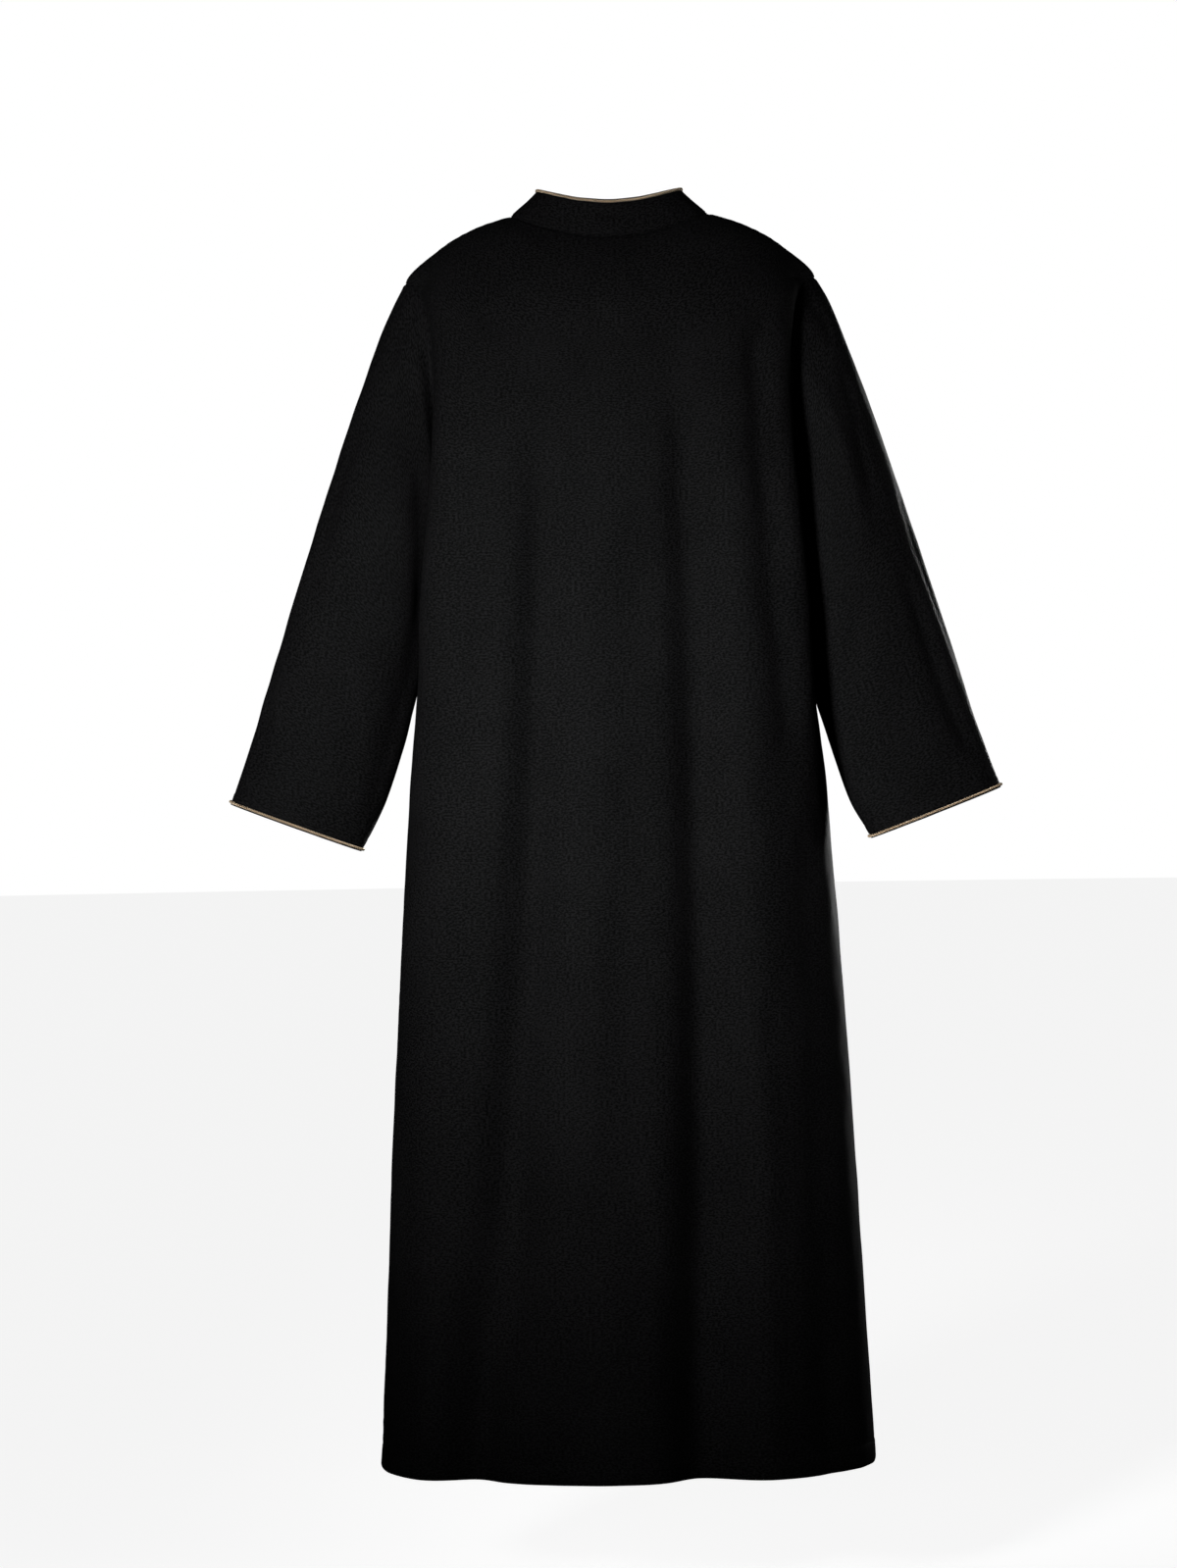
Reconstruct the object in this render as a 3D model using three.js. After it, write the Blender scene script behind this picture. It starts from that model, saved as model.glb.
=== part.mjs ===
// A man's thobe: an ankle-length robe with long set-in sleeves, a stand collar and cuffs edged with cord, and a
// buttoned placket at the centre front, filled out as when it is worn.
// Millimetres, +Z up. The front faces -Y and the wearer's left is +X.
// The origin is the middle of the neck opening, level with the neck ends of the shoulder seams.
import * as THREE from "three";

// Rows of numbers with a name for each column.
const table = (names, rows) => rows.map((row) => Object.fromEntries(names.map((name, k) => [name, row[k]])));

// ---- Driving sizes ----
const CLOTH = 2; // wall of every cloth piece
const SEAM_GAP = 0.3; // between pieces that meet at a seam, and between a panel and what lies on it
const MITRE_LIMIT = 1.6; // longest slant of a wall's edge at a sharp seam, in wall thicknesses

const SLIT_WIDTH = 1.2; // the opening at the centre front
const SLIT_BOTTOM = -470; // height at which the opening ends
const PLACKET_HALF = 16; // half the width of both plackets
const LAP_COLUMNS = 3; // columns of faces in the plackets and in the collar's lap: half, slit, half

const BUTTON_RADIUS = 5.75;
const BUTTON_THICKNESS = 3;
const BUTTON_LIFT = 0.45; // from the cloth to the button, along its thread
const BUTTON_SIDES = 14;
const BUTTON_COUNT = 4; // on the placket
const BUTTON_PITCH = 88; // between the placket's buttons, down the front
const FIRST_BUTTON = 40; // from the neck seam to the placket's first button
// From the middle of a button's back round its edge to the middle of its dished face, as shares of its radius
// and of half its thickness.
const BUTTON_PROFILE = table(["radius", "height"], [
  [0, -1],
  [0.8, -1],
  [1, 0],
  [0.85, 1],
  [0.6, 0.6],
  [0, 0.6],
]);

// The collar's top edge: its reach along X, +Y and -Y, and its heights at side, centre back and centre front.
const COLLAR_TOP = { halfWidth: 79, back: 52, front: 78, sideHeight: 31, backHeight: 11.5, frontHeight: -36 };
const COLLAR_ROWS = 2;
const LAP_LENGTH = 60; // over which the collar's upper end rises to lie on its lower end

const CORD_RADIUS = 1.8;
const CORD_SIDES = 6;
const CORD_INSET = 2.6; // from the cloth's edge to the middle of the cord that lies along it

// Rings round the body. side, back and front are a ring's heights at the side, centre back and centre front;
// halfWidth, backDepth and frontDepth are its reach along X, +Y and -Y; square is the exponent of its
// superellipse; tuck is how far its sides are drawn in, where the sleeves hang; point is how far the shoulder
// stands out at its side.
const RING_SIZES = ["side", "back", "front", "halfWidth", "backDepth", "frontDepth", "square", "tuck", "point"];
const BODY_RINGS = table(RING_SIZES, [
  [2, -28.5, -74, 112, 56, 64, 2, 0, 0],
  [-12, -60, -101, 153, 77, 79, 2.05, 0, 0],
  [-34, -100, -131, 186, 93, 91, 2.2, 0, 5],
  [-71, -148, -167, 202, 103, 99, 3.2, 0, 28],
  [-100, -168, -186, 220, 107, 103, 3.2, 20, 0],
  [-198, -235, -246, 226, 114, 107, 3.9, 44, 0],
  [-325, -335, -338, 241, 117, 108, 4, 65, 0],
  [-440, -441, -441, 255, 117, 108, 3.8, 69, 0],
  [-580, -580, -580, 243, 118, 112, 3.2, 19, 0],
  [-720, -720, -720, 237, 124, 119, 2.8, 0, 0],
  [-960, -960, -960, 250, 134, 130, 2.6, 0, 0],
  [-1180, -1180, -1180, 261, 143, 140, 2.5, 0, 0],
  [-1394, -1394, -1394, 272, 152, 149, 2.5, 0, 0],
]);
const SHOULDER_RING = 3; // the ring through the shoulder points
const TUCK_SPREAD = 78; // how far the tuck reaches along Y
const POINT_SPREAD = 19; // and the shoulder's point
const ROW_SAMPLES = 300; // points along half a ring from which a row's points are measured off
const EDGE_PULL = 4; // how soon a row that starts at the armhole reaches its ring

// Sections of a sleeve, from the armhole to the cuff. Each runs from outer to inner, two points in XZ;
// depth is half its reach along Y, forward moves it towards the front, bow draws its upper half in to the body.
const SECTION_COLUMNS = ["outerX", "outerZ", "innerX", "innerZ", "depth", "forward", "bow", "square"];
const SLEEVE_SECTIONS = table(SECTION_COLUMNS, [
  [230, -71, 176, -325, 45, 0, 26, 2],
  [246, -102, 181, -337, 44, 0, 10, 2],
  [264, -147, 185.5, -356, 49, 0, 0, 2],
  [301, -250, 192.5, -402, 61, 1, 0, 2],
  [355, -416, 209, -491, 55, 4, 0, 2.1],
  [405, -575, 250, -632, 41, 9, 0, 2.2],
  [430, -646, 284, -701, 32, 12, 0, 2.2],
]);
const BOW_ROUNDING = 0.8; // below 1 the bow is fuller towards the sleeve's outer and inner edges
const SLEEVE_STEPS = [2, 2, 3, 4, 3, 2]; // rows of faces between one section and the next

const SHOULDER_ROWS = 5; // rows of faces from the neck to the shoulder point
const ARMHOLE_ROWS = 10; // from the shoulder point to the underarm, along each half of the armhole
const SKIRT_ROWS = 15; // from the underarm to the hem
const SKIRT_CROWDING = 1.2; // above 1 the rows under the arm are closer than those at the hem
const HALF_COLUMNS = 14; // columns of faces from a side to the centre

// Long folds. Each runs from (topX, topZ) through midX to (bottomX, bottomZ), and its depth and half width grow
// from top to bottom. A negative depth is a ridge. face is 1 on the back and -1 on the front.
const FOLD_PATH = ["face", "topX", "midX", "bottomX", "topZ", "bottomZ"];
const FOLD_SHAPE = ["topDepth", "bottomDepth", "topHalf", "bottomHalf"];
const FOLDS = table([...FOLD_PATH, ...FOLD_SHAPE], [
  [1, 89, 123, 195, -190, -1394, 7, 22, 17, 40],
  [1, -56, -66, -62, -130, -1394, 9, 27, 16, 30],
  [1, -150, -159, -190, -85, -640, 8, 9, 16, 20],
  [1, 20, 55, 58, -195, -1394, -3, -10, 26, 40],
  [1, -95, -124, -140, -131, -1394, -3, -9, 20, 36],
  [-1, 98, 112, 128, -240, -1394, 7, 23, 17, 36],
  [-1, -84, -104, -96, -200, -1394, 7, 21, 17, 34],
  [-1, -30, -10, 22, -640, -1394, 3, 15, 22, 34],
  [-1, -170, -180, -196, -560, -1394, 5, 14, 20, 32],
]);
const FOLD_FADE = 0.16; // share of a fold's length over which it rises from nothing at its top
const FOLD_SIDE_FADE = 55; // folds die away over this distance from a panel's side edges

// ---- Materials ----
const blackCloth = new THREE.MeshStandardMaterial({ color: 0x101012, roughness: 0.78, metalness: 0 });
const goldCord = new THREE.MeshStandardMaterial({ color: 0xb9935a, roughness: 0.42, metalness: 0.55 });
const blackButton = new THREE.MeshStandardMaterial({ color: 0x0b0b0c, roughness: 0.3, metalness: 0 });

// ---- Tables and curves ----
// The value of a table's column at t, which counts its rows: a smooth curve through every row.
function columnAt(table, name, t) {
  const first = Math.min(Math.floor(t), table.length - 2);
  const f = t - first;
  const value = (k) => table[Math.min(Math.max(k, 0), table.length - 1)][name];
  const [a, b, c, d] = [value(first - 1), value(first), value(first + 1), value(first + 2)];
  const bend = (2 * a - 5 * b + 4 * c - d) * f * f + (3 * b - a - 3 * c + d) * f * f * f;
  return b + 0.5 * ((c - a) * f + bend);
}

const TINY = 1e-3;
const HALVINGS = 40; // of an interval in a search
const DIAGONAL_MARGIN = 0.01; // two diagonals that differ by less count as equally long

const ease = (t) => t * t * (3 - 2 * t);
const clamped = (t) => Math.min(Math.max(t, 0), 1);
const signedPower = (value, power) => Math.sign(value) * Math.abs(value) ** power;

// The points of a polyline at the given distances along it.
function pointsAlong(line, distances) {
  const lengths = [0];
  for (let i = 1; i < line.length; i++) lengths.push(lengths[i - 1] + line[i].distanceTo(line[i - 1]));
  let k = 1;
  return distances(lengths.at(-1)).map((distance) => {
    while (k < line.length - 1 && lengths[k] < distance) k++;
    const f = (distance - lengths[k - 1]) / (lengths[k] - lengths[k - 1]);
    return line[k - 1].clone().lerp(line[k], f);
  });
}

// ---- The body's surface ----
function ringPoint(t, angle) {
  const value = (name) => columnAt(BODY_RINGS, name, t);
  const [c, s] = [Math.cos(angle), Math.sin(angle)];
  const [depth, middle] = s >= 0 ? [value("backDepth"), value("back")] : [value("frontDepth"), value("front")];
  const power = 2 / value("square");
  const y = signedPower(s, power) * depth;
  const drawnIn = value("tuck") * Math.exp(-((y / TUCK_SPREAD) ** 2));
  const drawnOut = value("point") * Math.exp(-((y / POINT_SPREAD) ** 2));
  const x = signedPower(c, power) * (value("halfWidth") - drawnIn + drawnOut);
  const z = value("side") + (middle - value("side")) * s * s;
  return new THREE.Vector3(x, y, z);
}

// The ring whose side is at the given height.
function ringAtSide(height) {
  let [low, high] = [0, BODY_RINGS.length - 1];
  for (let i = 0; i < HALVINGS; i++) {
    const middle = (low + high) / 2;
    if (columnAt(BODY_RINGS, "side", middle) > height) low = middle;
    else high = middle;
  }
  return (low + high) / 2;
}

// A point of the left sleeve's surface. t counts the table's sections; the angle is 0 at the underarm, a
// quarter turn at the front and half a turn at the outer edge.
function sleevePoint(t, angle) {
  const value = (name) => columnAt(SLEEVE_SECTIONS, name, t);
  const [c, s] = [Math.cos(angle), Math.sin(angle)];
  const power = 2 / value("square");
  const along = signedPower(c, power) / 2;
  const x = (value("outerX") + value("innerX")) / 2 - along * (value("outerX") - value("innerX"));
  const z = (value("outerZ") + value("innerZ")) / 2 - along * (value("outerZ") - value("innerZ"));
  const y = -signedPower(s, power) * value("depth") - value("forward");
  const drawnIn = (value("bow") * Math.abs(s) ** BOW_ROUNDING * (1 - c)) / 2;
  return new THREE.Vector3(x - drawnIn, y, z);
}

// Where each row of the body's faces starts: its ring, and its point on the side, armhole or shoulder seam.
// turn is 1 on the back and -1 on the front.
function bodyRows(turn) {
  const rows = [];
  for (let i = 0; i < SHOULDER_ROWS; i++) {
    const t = (SHOULDER_RING * i) / SHOULDER_ROWS;
    rows.push({ t, edge: ringPoint(t, 0) });
  }
  for (let i = 0; i < ARMHOLE_ROWS; i++) {
    const edge = sleevePoint(0, Math.PI * (1 + (turn * i) / ARMHOLE_ROWS));
    rows.push({ t: ringAtSide(edge.z), edge });
  }
  const [underarm, hem] = [sleevePoint(0, 0).z, BODY_RINGS.at(-1).side];
  for (let i = 0; i <= SKIRT_ROWS; i++) {
    const t = ringAtSide(underarm + (hem - underarm) * (i / SKIRT_ROWS) ** SKIRT_CROWDING);
    rows.push({ t, edge: ringPoint(t, 0) });
  }
  return rows;
}

// Half of a row, from its edge at the wearer's left side to the centre back or front, at the given distances.
function halfRow({ t, edge }, turn, distances) {
  const depth = columnAt(BODY_RINGS, turn > 0 ? "backDepth" : "frontDepth", t);
  const start = Math.asin((Math.abs(edge.y) / depth) ** (columnAt(BODY_RINGS, "square", t) / 2));
  const line = [];
  for (let i = 0; i <= ROW_SAMPLES; i++) {
    // closer steps near the ends, where a squarish ring moves fastest with the angle
    const share = ease(ease(i / ROW_SAMPLES));
    line.push(ringPoint(t, turn * (start + (Math.PI / 2 - start) * share)));
  }
  const miss = edge.clone().sub(line[0]);
  line.forEach((point, i) => point.addScaledVector(miss, (1 - ease(i / ROW_SAMPLES)) ** EDGE_PULL));
  line.at(-1).x = 0;
  return pointsAlong(line, distances);
}

const evenly = (length) => Array.from({ length: HALF_COLUMNS + 1 }, (_, i) => (length * i) / HALF_COLUMNS);

// On the front the last columns are the placket's edge and the slit's edge.
const towardsPlacket = (length) => {
  const wide = HALF_COLUMNS - 1;
  const columns = Array.from({ length: wide + 1 }, (_, i) => ((length - PLACKET_HALF) * i) / wide);
  return [...columns, length - SLIT_WIDTH / 2];
};

const mirrored = (point) => new THREE.Vector3(-point.x, point.y, point.z);

// A body panel's outer surface, rows from the neck down. The back's columns run from the wearer's left to the
// right, the front's from the right to the left, so that rows crossed with columns point outwards.
function bodyPanel(turn) {
  return bodyRows(turn).map((row) => {
    const left = halfRow(row, turn, turn > 0 ? evenly : towardsPlacket);
    const right = left.map(mirrored);
    if (turn > 0) return [...left, ...right.slice(0, -1).reverse()];
    return [...right, ...left.reverse()];
  });
}

// ---- Surfaces as grids of points ----
function normalsOf(grid, closed) {
  const [rows, columns] = [grid.length, grid[0].length];
  const around = (j) => (closed ? (j + columns) % columns : Math.min(Math.max(j, 0), columns - 1));
  return grid.map((row, i) =>
    row.map((_, j) => {
      const down = grid[Math.min(i + 1, rows - 1)][j].clone().sub(grid[Math.max(i - 1, 0)][j]);
      const across = row[around(j + 1)].clone().sub(row[around(j - 1)]);
      return down.cross(across).normalize();
    }),
  );
}

function foldDepth(face, point) {
  let depth = 0;
  for (const fold of FOLDS) {
    const f = (point.z - fold.topZ) / (fold.bottomZ - fold.topZ);
    if (fold.face !== face || f <= 0 || f > 1 + TINY) continue;
    const bend = fold.topX - 2 * fold.midX + fold.bottomX;
    const x = fold.topX + (4 * fold.midX - 3 * fold.topX - fold.bottomX) * f + 2 * bend * f * f;
    const half = fold.topHalf + (fold.bottomHalf - fold.topHalf) * f;
    const reachesHem = fold.bottomZ === BODY_RINGS.at(-1).side;
    const fade = ease(clamped(f / FOLD_FADE)) * (reachesHem ? 1 : ease(clamped((1 - f) / FOLD_FADE)));
    const deepest = fold.topDepth + (fold.bottomDepth - fold.topDepth) * f;
    depth += deepest * fade * Math.exp(-(((point.x - x) / half) ** 2));
  }
  return depth;
}

// Presses the folds into a body panel, leaving its side edges and its neck edge where they are.
function withFolds(grid, face) {
  const normals = normalsOf(grid, false);
  return grid.map((row, i) =>
    row.map((point, j) => {
      const toEdge = Math.min(point.distanceTo(row[0]), point.distanceTo(row.at(-1)));
      const depth = foldDepth(face, point) * ease(clamped(toEdge / FOLD_SIDE_FADE));
      return point.clone().addScaledVector(normals[i][j], -depth);
    }),
  );
}

function sleeve(side) {
  const grid = [];
  const columns = 2 * ARMHOLE_ROWS;
  SLEEVE_STEPS.forEach((steps, section) => {
    for (let i = section ? 1 : 0; i <= steps; i++) {
      const t = section + i / steps;
      grid.push(Array.from({ length: columns }, (_, j) => sleevePoint(t, (2 * Math.PI * j) / columns)));
    }
  });
  if (side > 0) return grid;
  return grid.map((row) => row.map(mirrored).reverse());
}

// ---- Seams ----
// Gives each point of each surface the direction of its wall, and draws the pieces apart where they meet.
// Points of different pieces that coincide form a seam: their walls end on one common slanted face.
function joinAtSeams(surfaces) {
  const seams = new Map();
  for (const surface of surfaces) {
    surface.normals = normalsOf(surface.grid, surface.closed);
    const [rows, columns] = [surface.grid.length, surface.grid[0].length];
    surface.walls = surface.normals.map((row) => row.map((normal) => normal.clone().multiplyScalar(CLOTH)));
    for (let i = 0; i < rows; i++) {
      for (let j = 0; j < columns; j++) {
        const atEnd = i === 0 || i === rows - 1;
        const atSide = !surface.closed && (j === 0 || j === columns - 1);
        if (!atEnd && !atSide) continue;
        const key = surface.grid[i][j].toArray().map((v) => Math.round(v * 1000)).join();
        if (!seams.has(key)) seams.set(key, []);
        seams.get(key).push({ surface, i, j });
      }
    }
  }
  const moves = [];
  for (const members of seams.values()) {
    if (new Set(members.map(({ surface }) => surface)).size < 2) continue;
    const common = new THREE.Vector3();
    for (const { surface, i, j } of members) {
      // the two body panels count as one, and so do the collar's two ends
      const alike = members.filter((other) => other.surface.kind === surface.kind).length;
      common.addScaledVector(surface.normals[i][j], 1 / alike);
    }
    common.normalize();
    for (const { surface, i, j } of members) {
      const slant = Math.min(1 / Math.max(common.dot(surface.normals[i][j]), TINY), MITRE_LIMIT);
      surface.walls[i][j] = common.clone().multiplyScalar(CLOTH * slant);
      moves.push({ surface, i, j, step: stepInside(surface, i, j, common) });
    }
  }
  for (const { surface, i, j, step } of moves) surface.grid[i][j].add(step);
}

// The small step from an edge point into its own piece that opens half of the seam's gap. It is square to the
// slanted face that the walls share, whose direction away from the edge line is common.
function stepInside({ grid, closed, normals }, i, j, common) {
  const [lastRow, lastColumn] = [grid.length - 1, grid[0].length - 1];
  const step = new THREE.Vector3();
  const away = (inside, before, after) => {
    const edge = after.clone().sub(before).normalize();
    const inward = edge.clone().cross(normals[i][j]);
    const turn = Math.sign(inward.dot(inside.clone().sub(grid[i][j])));
    step.add(edge.cross(common).setLength((turn * SEAM_GAP) / 2));
  };
  const wrap = (k) => (k + lastColumn + 1) % (lastColumn + 1);
  const beside = (k) => grid[i][closed ? wrap(k) : Math.min(Math.max(k, 0), lastColumn)];
  const level = (k) => grid[Math.min(Math.max(k, 0), lastRow)][j];
  if (i === 0) away(grid[1][j], beside(j - 1), beside(j + 1));
  if (i === lastRow) away(grid[i - 1][j], beside(j - 1), beside(j + 1));
  if (!closed && j === 0) away(grid[i][1], level(i - 1), level(i + 1));
  if (!closed && j === lastColumn) away(grid[i][j - 1], level(i - 1), level(i + 1));
  return step;
}

// ---- Solids ----
function mesh(name, points, triangles, material) {
  const geometry = new THREE.BufferGeometry();
  geometry.setAttribute("position", new THREE.Float32BufferAttribute(points.flatMap((p) => p.toArray()), 3));
  geometry.setIndex(triangles);
  geometry.computeVertexNormals();
  const made = new THREE.Mesh(geometry, material);
  made.name = name;
  return made;
}

// A cloth wall: the outer surface, the inner one a wall's thickness behind it, and a strip round every edge.
// A cell (i, j) for which present is false is left open.
function clothWall({ name, grid, walls, closed = false, present = () => true }) {
  const [rows, columns] = [grid.length, grid[0].length];
  const cells = closed ? columns : columns - 1;
  const inner = grid.map((row, i) => row.map((point, j) => point.clone().sub(walls[i][j])));
  const points = [...grid.flat(), ...inner.flat()];
  const behind = rows * columns;
  const at = (i, j) => i * columns + (j % columns);
  const isCell = (i, j) => {
    const column = closed ? (j + cells) % cells : j;
    return i >= 0 && i < rows - 1 && column >= 0 && column < cells && present(i, column);
  };
  const triangles = [];
  const quad = (a, b, c, d) => triangles.push(a, b, d, b, c, d);
  for (let i = 0; i < rows - 1; i++) {
    for (let j = 0; j < cells; j++) {
      if (!isCell(i, j)) continue;
      const [a, b, c, d] = [at(i, j), at(i + 1, j), at(i + 1, j + 1), at(i, j + 1)];
      // each cell is split along its shorter diagonal, outside and inside alike
      const splitFirst = points[a].distanceTo(points[c]) < points[b].distanceTo(points[d]) - DIAGONAL_MARGIN;
      const [m, n, o, p] = splitFirst ? [b, c, d, a] : [a, b, c, d];
      quad(m, n, o, p);
      quad(m + behind, p + behind, o + behind, n + behind);
      // the strip along an edge is split from its higher end, so that the strips of two pieces at a seam agree
      const edge = (p, q) => {
        if (points[p].z > points[q].z) quad(q, p, p + behind, q + behind);
        else quad(p, p + behind, q + behind, q);
      };
      if (!isCell(i, j - 1)) edge(a, b);
      if (!isCell(i + 1, j)) edge(b, c);
      if (!isCell(i, j + 1)) edge(c, d);
      if (!isCell(i - 1, j)) edge(d, a);
    }
  }
  const used = [...new Set(triangles)].sort((p, q) => p - q);
  const place = new Map(used.map((index, order) => [index, order]));
  const kept = used.map((index) => points[index]);
  return mesh(name, kept, triangles.map((index) => place.get(index)), blackCloth);
}

// A cord through the given stations, each with its centre and two directions across it.
function cord(name, stations, closed) {
  const points = [];
  for (const { centre, out, up } of stations) {
    for (let k = 0; k < CORD_SIDES; k++) {
      const angle = (2 * Math.PI * (k + 0.5)) / CORD_SIDES;
      const spoke = out.clone().multiplyScalar(Math.cos(angle)).addScaledVector(up, Math.sin(angle));
      points.push(centre.clone().addScaledVector(spoke, CORD_RADIUS));
    }
  }
  const triangles = [];
  const spans = closed ? stations.length : stations.length - 1;
  for (let i = 0; i < spans; i++) {
    const next = (i + 1) % stations.length;
    for (let k = 0; k < CORD_SIDES; k++) {
      const [a, b] = [i * CORD_SIDES + k, i * CORD_SIDES + ((k + 1) % CORD_SIDES)];
      const [c, d] = [next * CORD_SIDES + ((k + 1) % CORD_SIDES), next * CORD_SIDES + k];
      triangles.push(a, b, d, b, c, d);
    }
  }
  if (!closed) {
    const last = (stations.length - 1) * CORD_SIDES;
    for (let k = 1; k < CORD_SIDES - 1; k++) triangles.push(0, k + 1, k, last, last + k, last + k + 1);
  }
  const turned = orientOutwards(points, triangles);
  return mesh(name, points, turned, goldCord);
}

// Turns a closed solid's triangles round if they enclose a negative volume.
function orientOutwards(points, triangles) {
  let volume = 0;
  for (let i = 0; i < triangles.length; i += 3) {
    const [a, b, c] = [points[triangles[i]], points[triangles[i + 1]], points[triangles[i + 2]]];
    volume += a.dot(b.clone().cross(c));
  }
  if (volume > 0) return triangles;
  const turned = [];
  for (let i = 0; i < triangles.length; i += 3) turned.push(triangles[i], triangles[i + 2], triangles[i + 1]);
  return turned;
}

// The station of a cord that lies on the outside of the cloth, a little in from the edge point.
function cordStation(edge, inside, normal) {
  const up = edge.clone().sub(inside).normalize();
  const out = normal.clone().addScaledVector(up, -normal.dot(up)).normalize();
  const centre = edge.clone().addScaledVector(up, -CORD_INSET).addScaledVector(out, SEAM_GAP + CORD_RADIUS);
  return { centre, out, up };
}

// ---- Pieces ----
const back = { name: "back", kind: "body", grid: withFolds(bodyPanel(1), 1) };
const front = { name: "front", kind: "body", grid: withFolds(bodyPanel(-1), -1) };
const sleeveLeft = { name: "sleeve_left", kind: "sleeve", grid: sleeve(1), closed: true };
const sleeveRight = { name: "sleeve_right", kind: "sleeve", grid: sleeve(-1), closed: true };

const centreColumn = HALF_COLUMNS; // the front's column of faces that the slit runs down
const lapStart = centreColumn - 1; // the point where the plackets and the collar's lap start
const lapEnd = lapStart + LAP_COLUMNS;
const slitRow = front.grid.findIndex((row) => row[centreColumn].z < SLIT_BOTTOM);
front.present = (i, j) => j !== centreColumn || i >= slitRow;

// The collar stands on the neck edge. Its ends lap over the centre front by half a placket each.
const neckLoop = [...front.grid[0].slice(lapStart), ...back.grid[0].slice(1)];
neckLoop.push(...front.grid[0].slice(1, lapEnd + 1));

// The point of the collar's top edge above a point of the neck seam.
function collarTopPoint(seam) {
  const neck = BODY_RINGS[0];
  const atBack = seam.y > 0;
  const turned = seam.y / (atBack ? neck.backDepth : neck.frontDepth);
  const middle = atBack ? COLLAR_TOP.backHeight : COLLAR_TOP.frontHeight;
  const x = (seam.x / neck.halfWidth) * COLLAR_TOP.halfWidth;
  const y = turned * (atBack ? COLLAR_TOP.back : COLLAR_TOP.front);
  const z = COLLAR_TOP.sideHeight + (middle - COLLAR_TOP.sideHeight) * turned * turned;
  return new THREE.Vector3(x, y, z);
}

function collarSurface() {
  const rows = Array.from({ length: COLLAR_ROWS + 1 }, (_, i) => i / COLLAR_ROWS);
  const grid = rows.map((down) => neckLoop.map((seam) => collarTopPoint(seam).lerp(seam, down)));
  return { name: "collar", kind: "collar", grid };
}

// The share of its full rise by which the collar stands off at column j, over its lower end.
function lapRise(j) {
  let fromEnd = 0;
  for (let k = 1; k <= j; k++) fromEnd += neckLoop[k].distanceTo(neckLoop[k - 1]);
  return ease(clamped((LAP_LENGTH - fromEnd) / (LAP_LENGTH - 2 * PLACKET_HALF)));
}

// The surface moved out by a number of its own walls and of seam gaps, which may differ from column to column.
function movedOut({ grid, walls }, share) {
  return grid.map((row, i) =>
    row.map((point, j) => {
      const rise = walls[i][j].clone().setLength(walls[i][j].length() + SEAM_GAP);
      return point.clone().addScaledVector(rise, share(j));
    }),
  );
}

const collar = collarSurface();
joinAtSeams([back, front, sleeveLeft, sleeveRight, collar]);
collar.grid = movedOut(collar, lapRise);
collar.normals = normalsOf(collar.grid, false);

function collarCord() {
  const stations = collar.grid[0].map((edge, j) => cordStation(edge, collar.grid[1][j], collar.normals[0][j]));
  // the cord stops short of the upper end, which laps over the lower one
  const kept = stations.slice(0, stations.length - LAP_COLUMNS);
  const [before, end] = kept.slice(-2);
  const short = (2 * CORD_RADIUS) / before.centre.distanceTo(end.centre);
  end.centre.lerp(before.centre, short);
  return cord("collar_piping", kept, false);
}

function cuffCord(name, surface) {
  const edge = surface.grid.at(-1);
  const inside = surface.grid.at(-2);
  return cord(name, edge.map((point, j) => cordStation(point, inside[j], surface.normals.at(-1)[j])), true);
}

// A placket lies along the front's centre columns: layer is 1 outside the front and -1 behind it.
function placket(name, layer) {
  const strip = (grid) => grid.slice(0, slitRow + 2).map((row) => row.slice(lapStart, lapEnd + 1));
  const walls = strip(front.walls);
  return clothWall({ name, grid: movedOut({ grid: strip(front.grid), walls }, () => layer), walls });
}

function button(name, centre, normal) {
  const half = BUTTON_THICKNESS / 2;
  const profile = BUTTON_PROFILE.map((row) => new THREE.Vector2(row.radius * BUTTON_RADIUS, row.height * half));
  const made = new THREE.Mesh(new THREE.LatheGeometry(profile, BUTTON_SIDES), blackButton);
  made.name = name;
  made.position.copy(centre).addScaledVector(normal, half + BUTTON_LIFT);
  made.quaternion.setFromUnitVectors(new THREE.Vector3(0, 1, 0), normal);
  return made;
}

// The point of the over placket's outside at a distance down from the neck seam, with its normal.
function placketPoint(distance) {
  let down = 0;
  for (let i = 1; i < front.grid.length; i++) {
    const [above, below] = [front.grid[i - 1][centreColumn], front.grid[i][centreColumn]];
    const span = above.distanceTo(below);
    if (down + span >= distance) {
      const normal = front.normals[i - 1][centreColumn].clone();
      normal.add(front.normals[i][centreColumn]).setX(0).normalize();
      const point = above.clone().lerp(below, (distance - down) / span).setX(0);
      return { point: point.addScaledVector(normal, SEAM_GAP + CLOTH), normal };
    }
    down += span;
  }
  throw new Error("the placket is shorter than that");
}

const thobe = new THREE.Group();
thobe.add(
  clothWall(back),
  clothWall(front),
  clothWall(sleeveLeft),
  clothWall(sleeveRight),
  clothWall(collar),
  collarCord(),
  cuffCord("cuff_piping_left", sleeveLeft),
  cuffCord("cuff_piping_right", sleeveRight),
  placket("placket_over", 1),
  placket("placket_under", -1),
);
for (let i = 0; i < BUTTON_COUNT; i++) {
  const { point, normal } = placketPoint(FIRST_BUTTON + i * BUTTON_PITCH);
  thobe.add(button("button_" + (i + 1), point, normal));
}
const lapMiddle = Math.round(COLLAR_ROWS / 2);
const lapPoint = collar.grid[lapMiddle][1].clone().add(collar.grid[lapMiddle][2]).multiplyScalar(0.5);
const lapNormal = collar.normals[lapMiddle][1].clone().add(collar.normals[lapMiddle][2]).normalize();
thobe.add(button("button_collar", lapPoint, lapNormal));

export default thobe;
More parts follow.
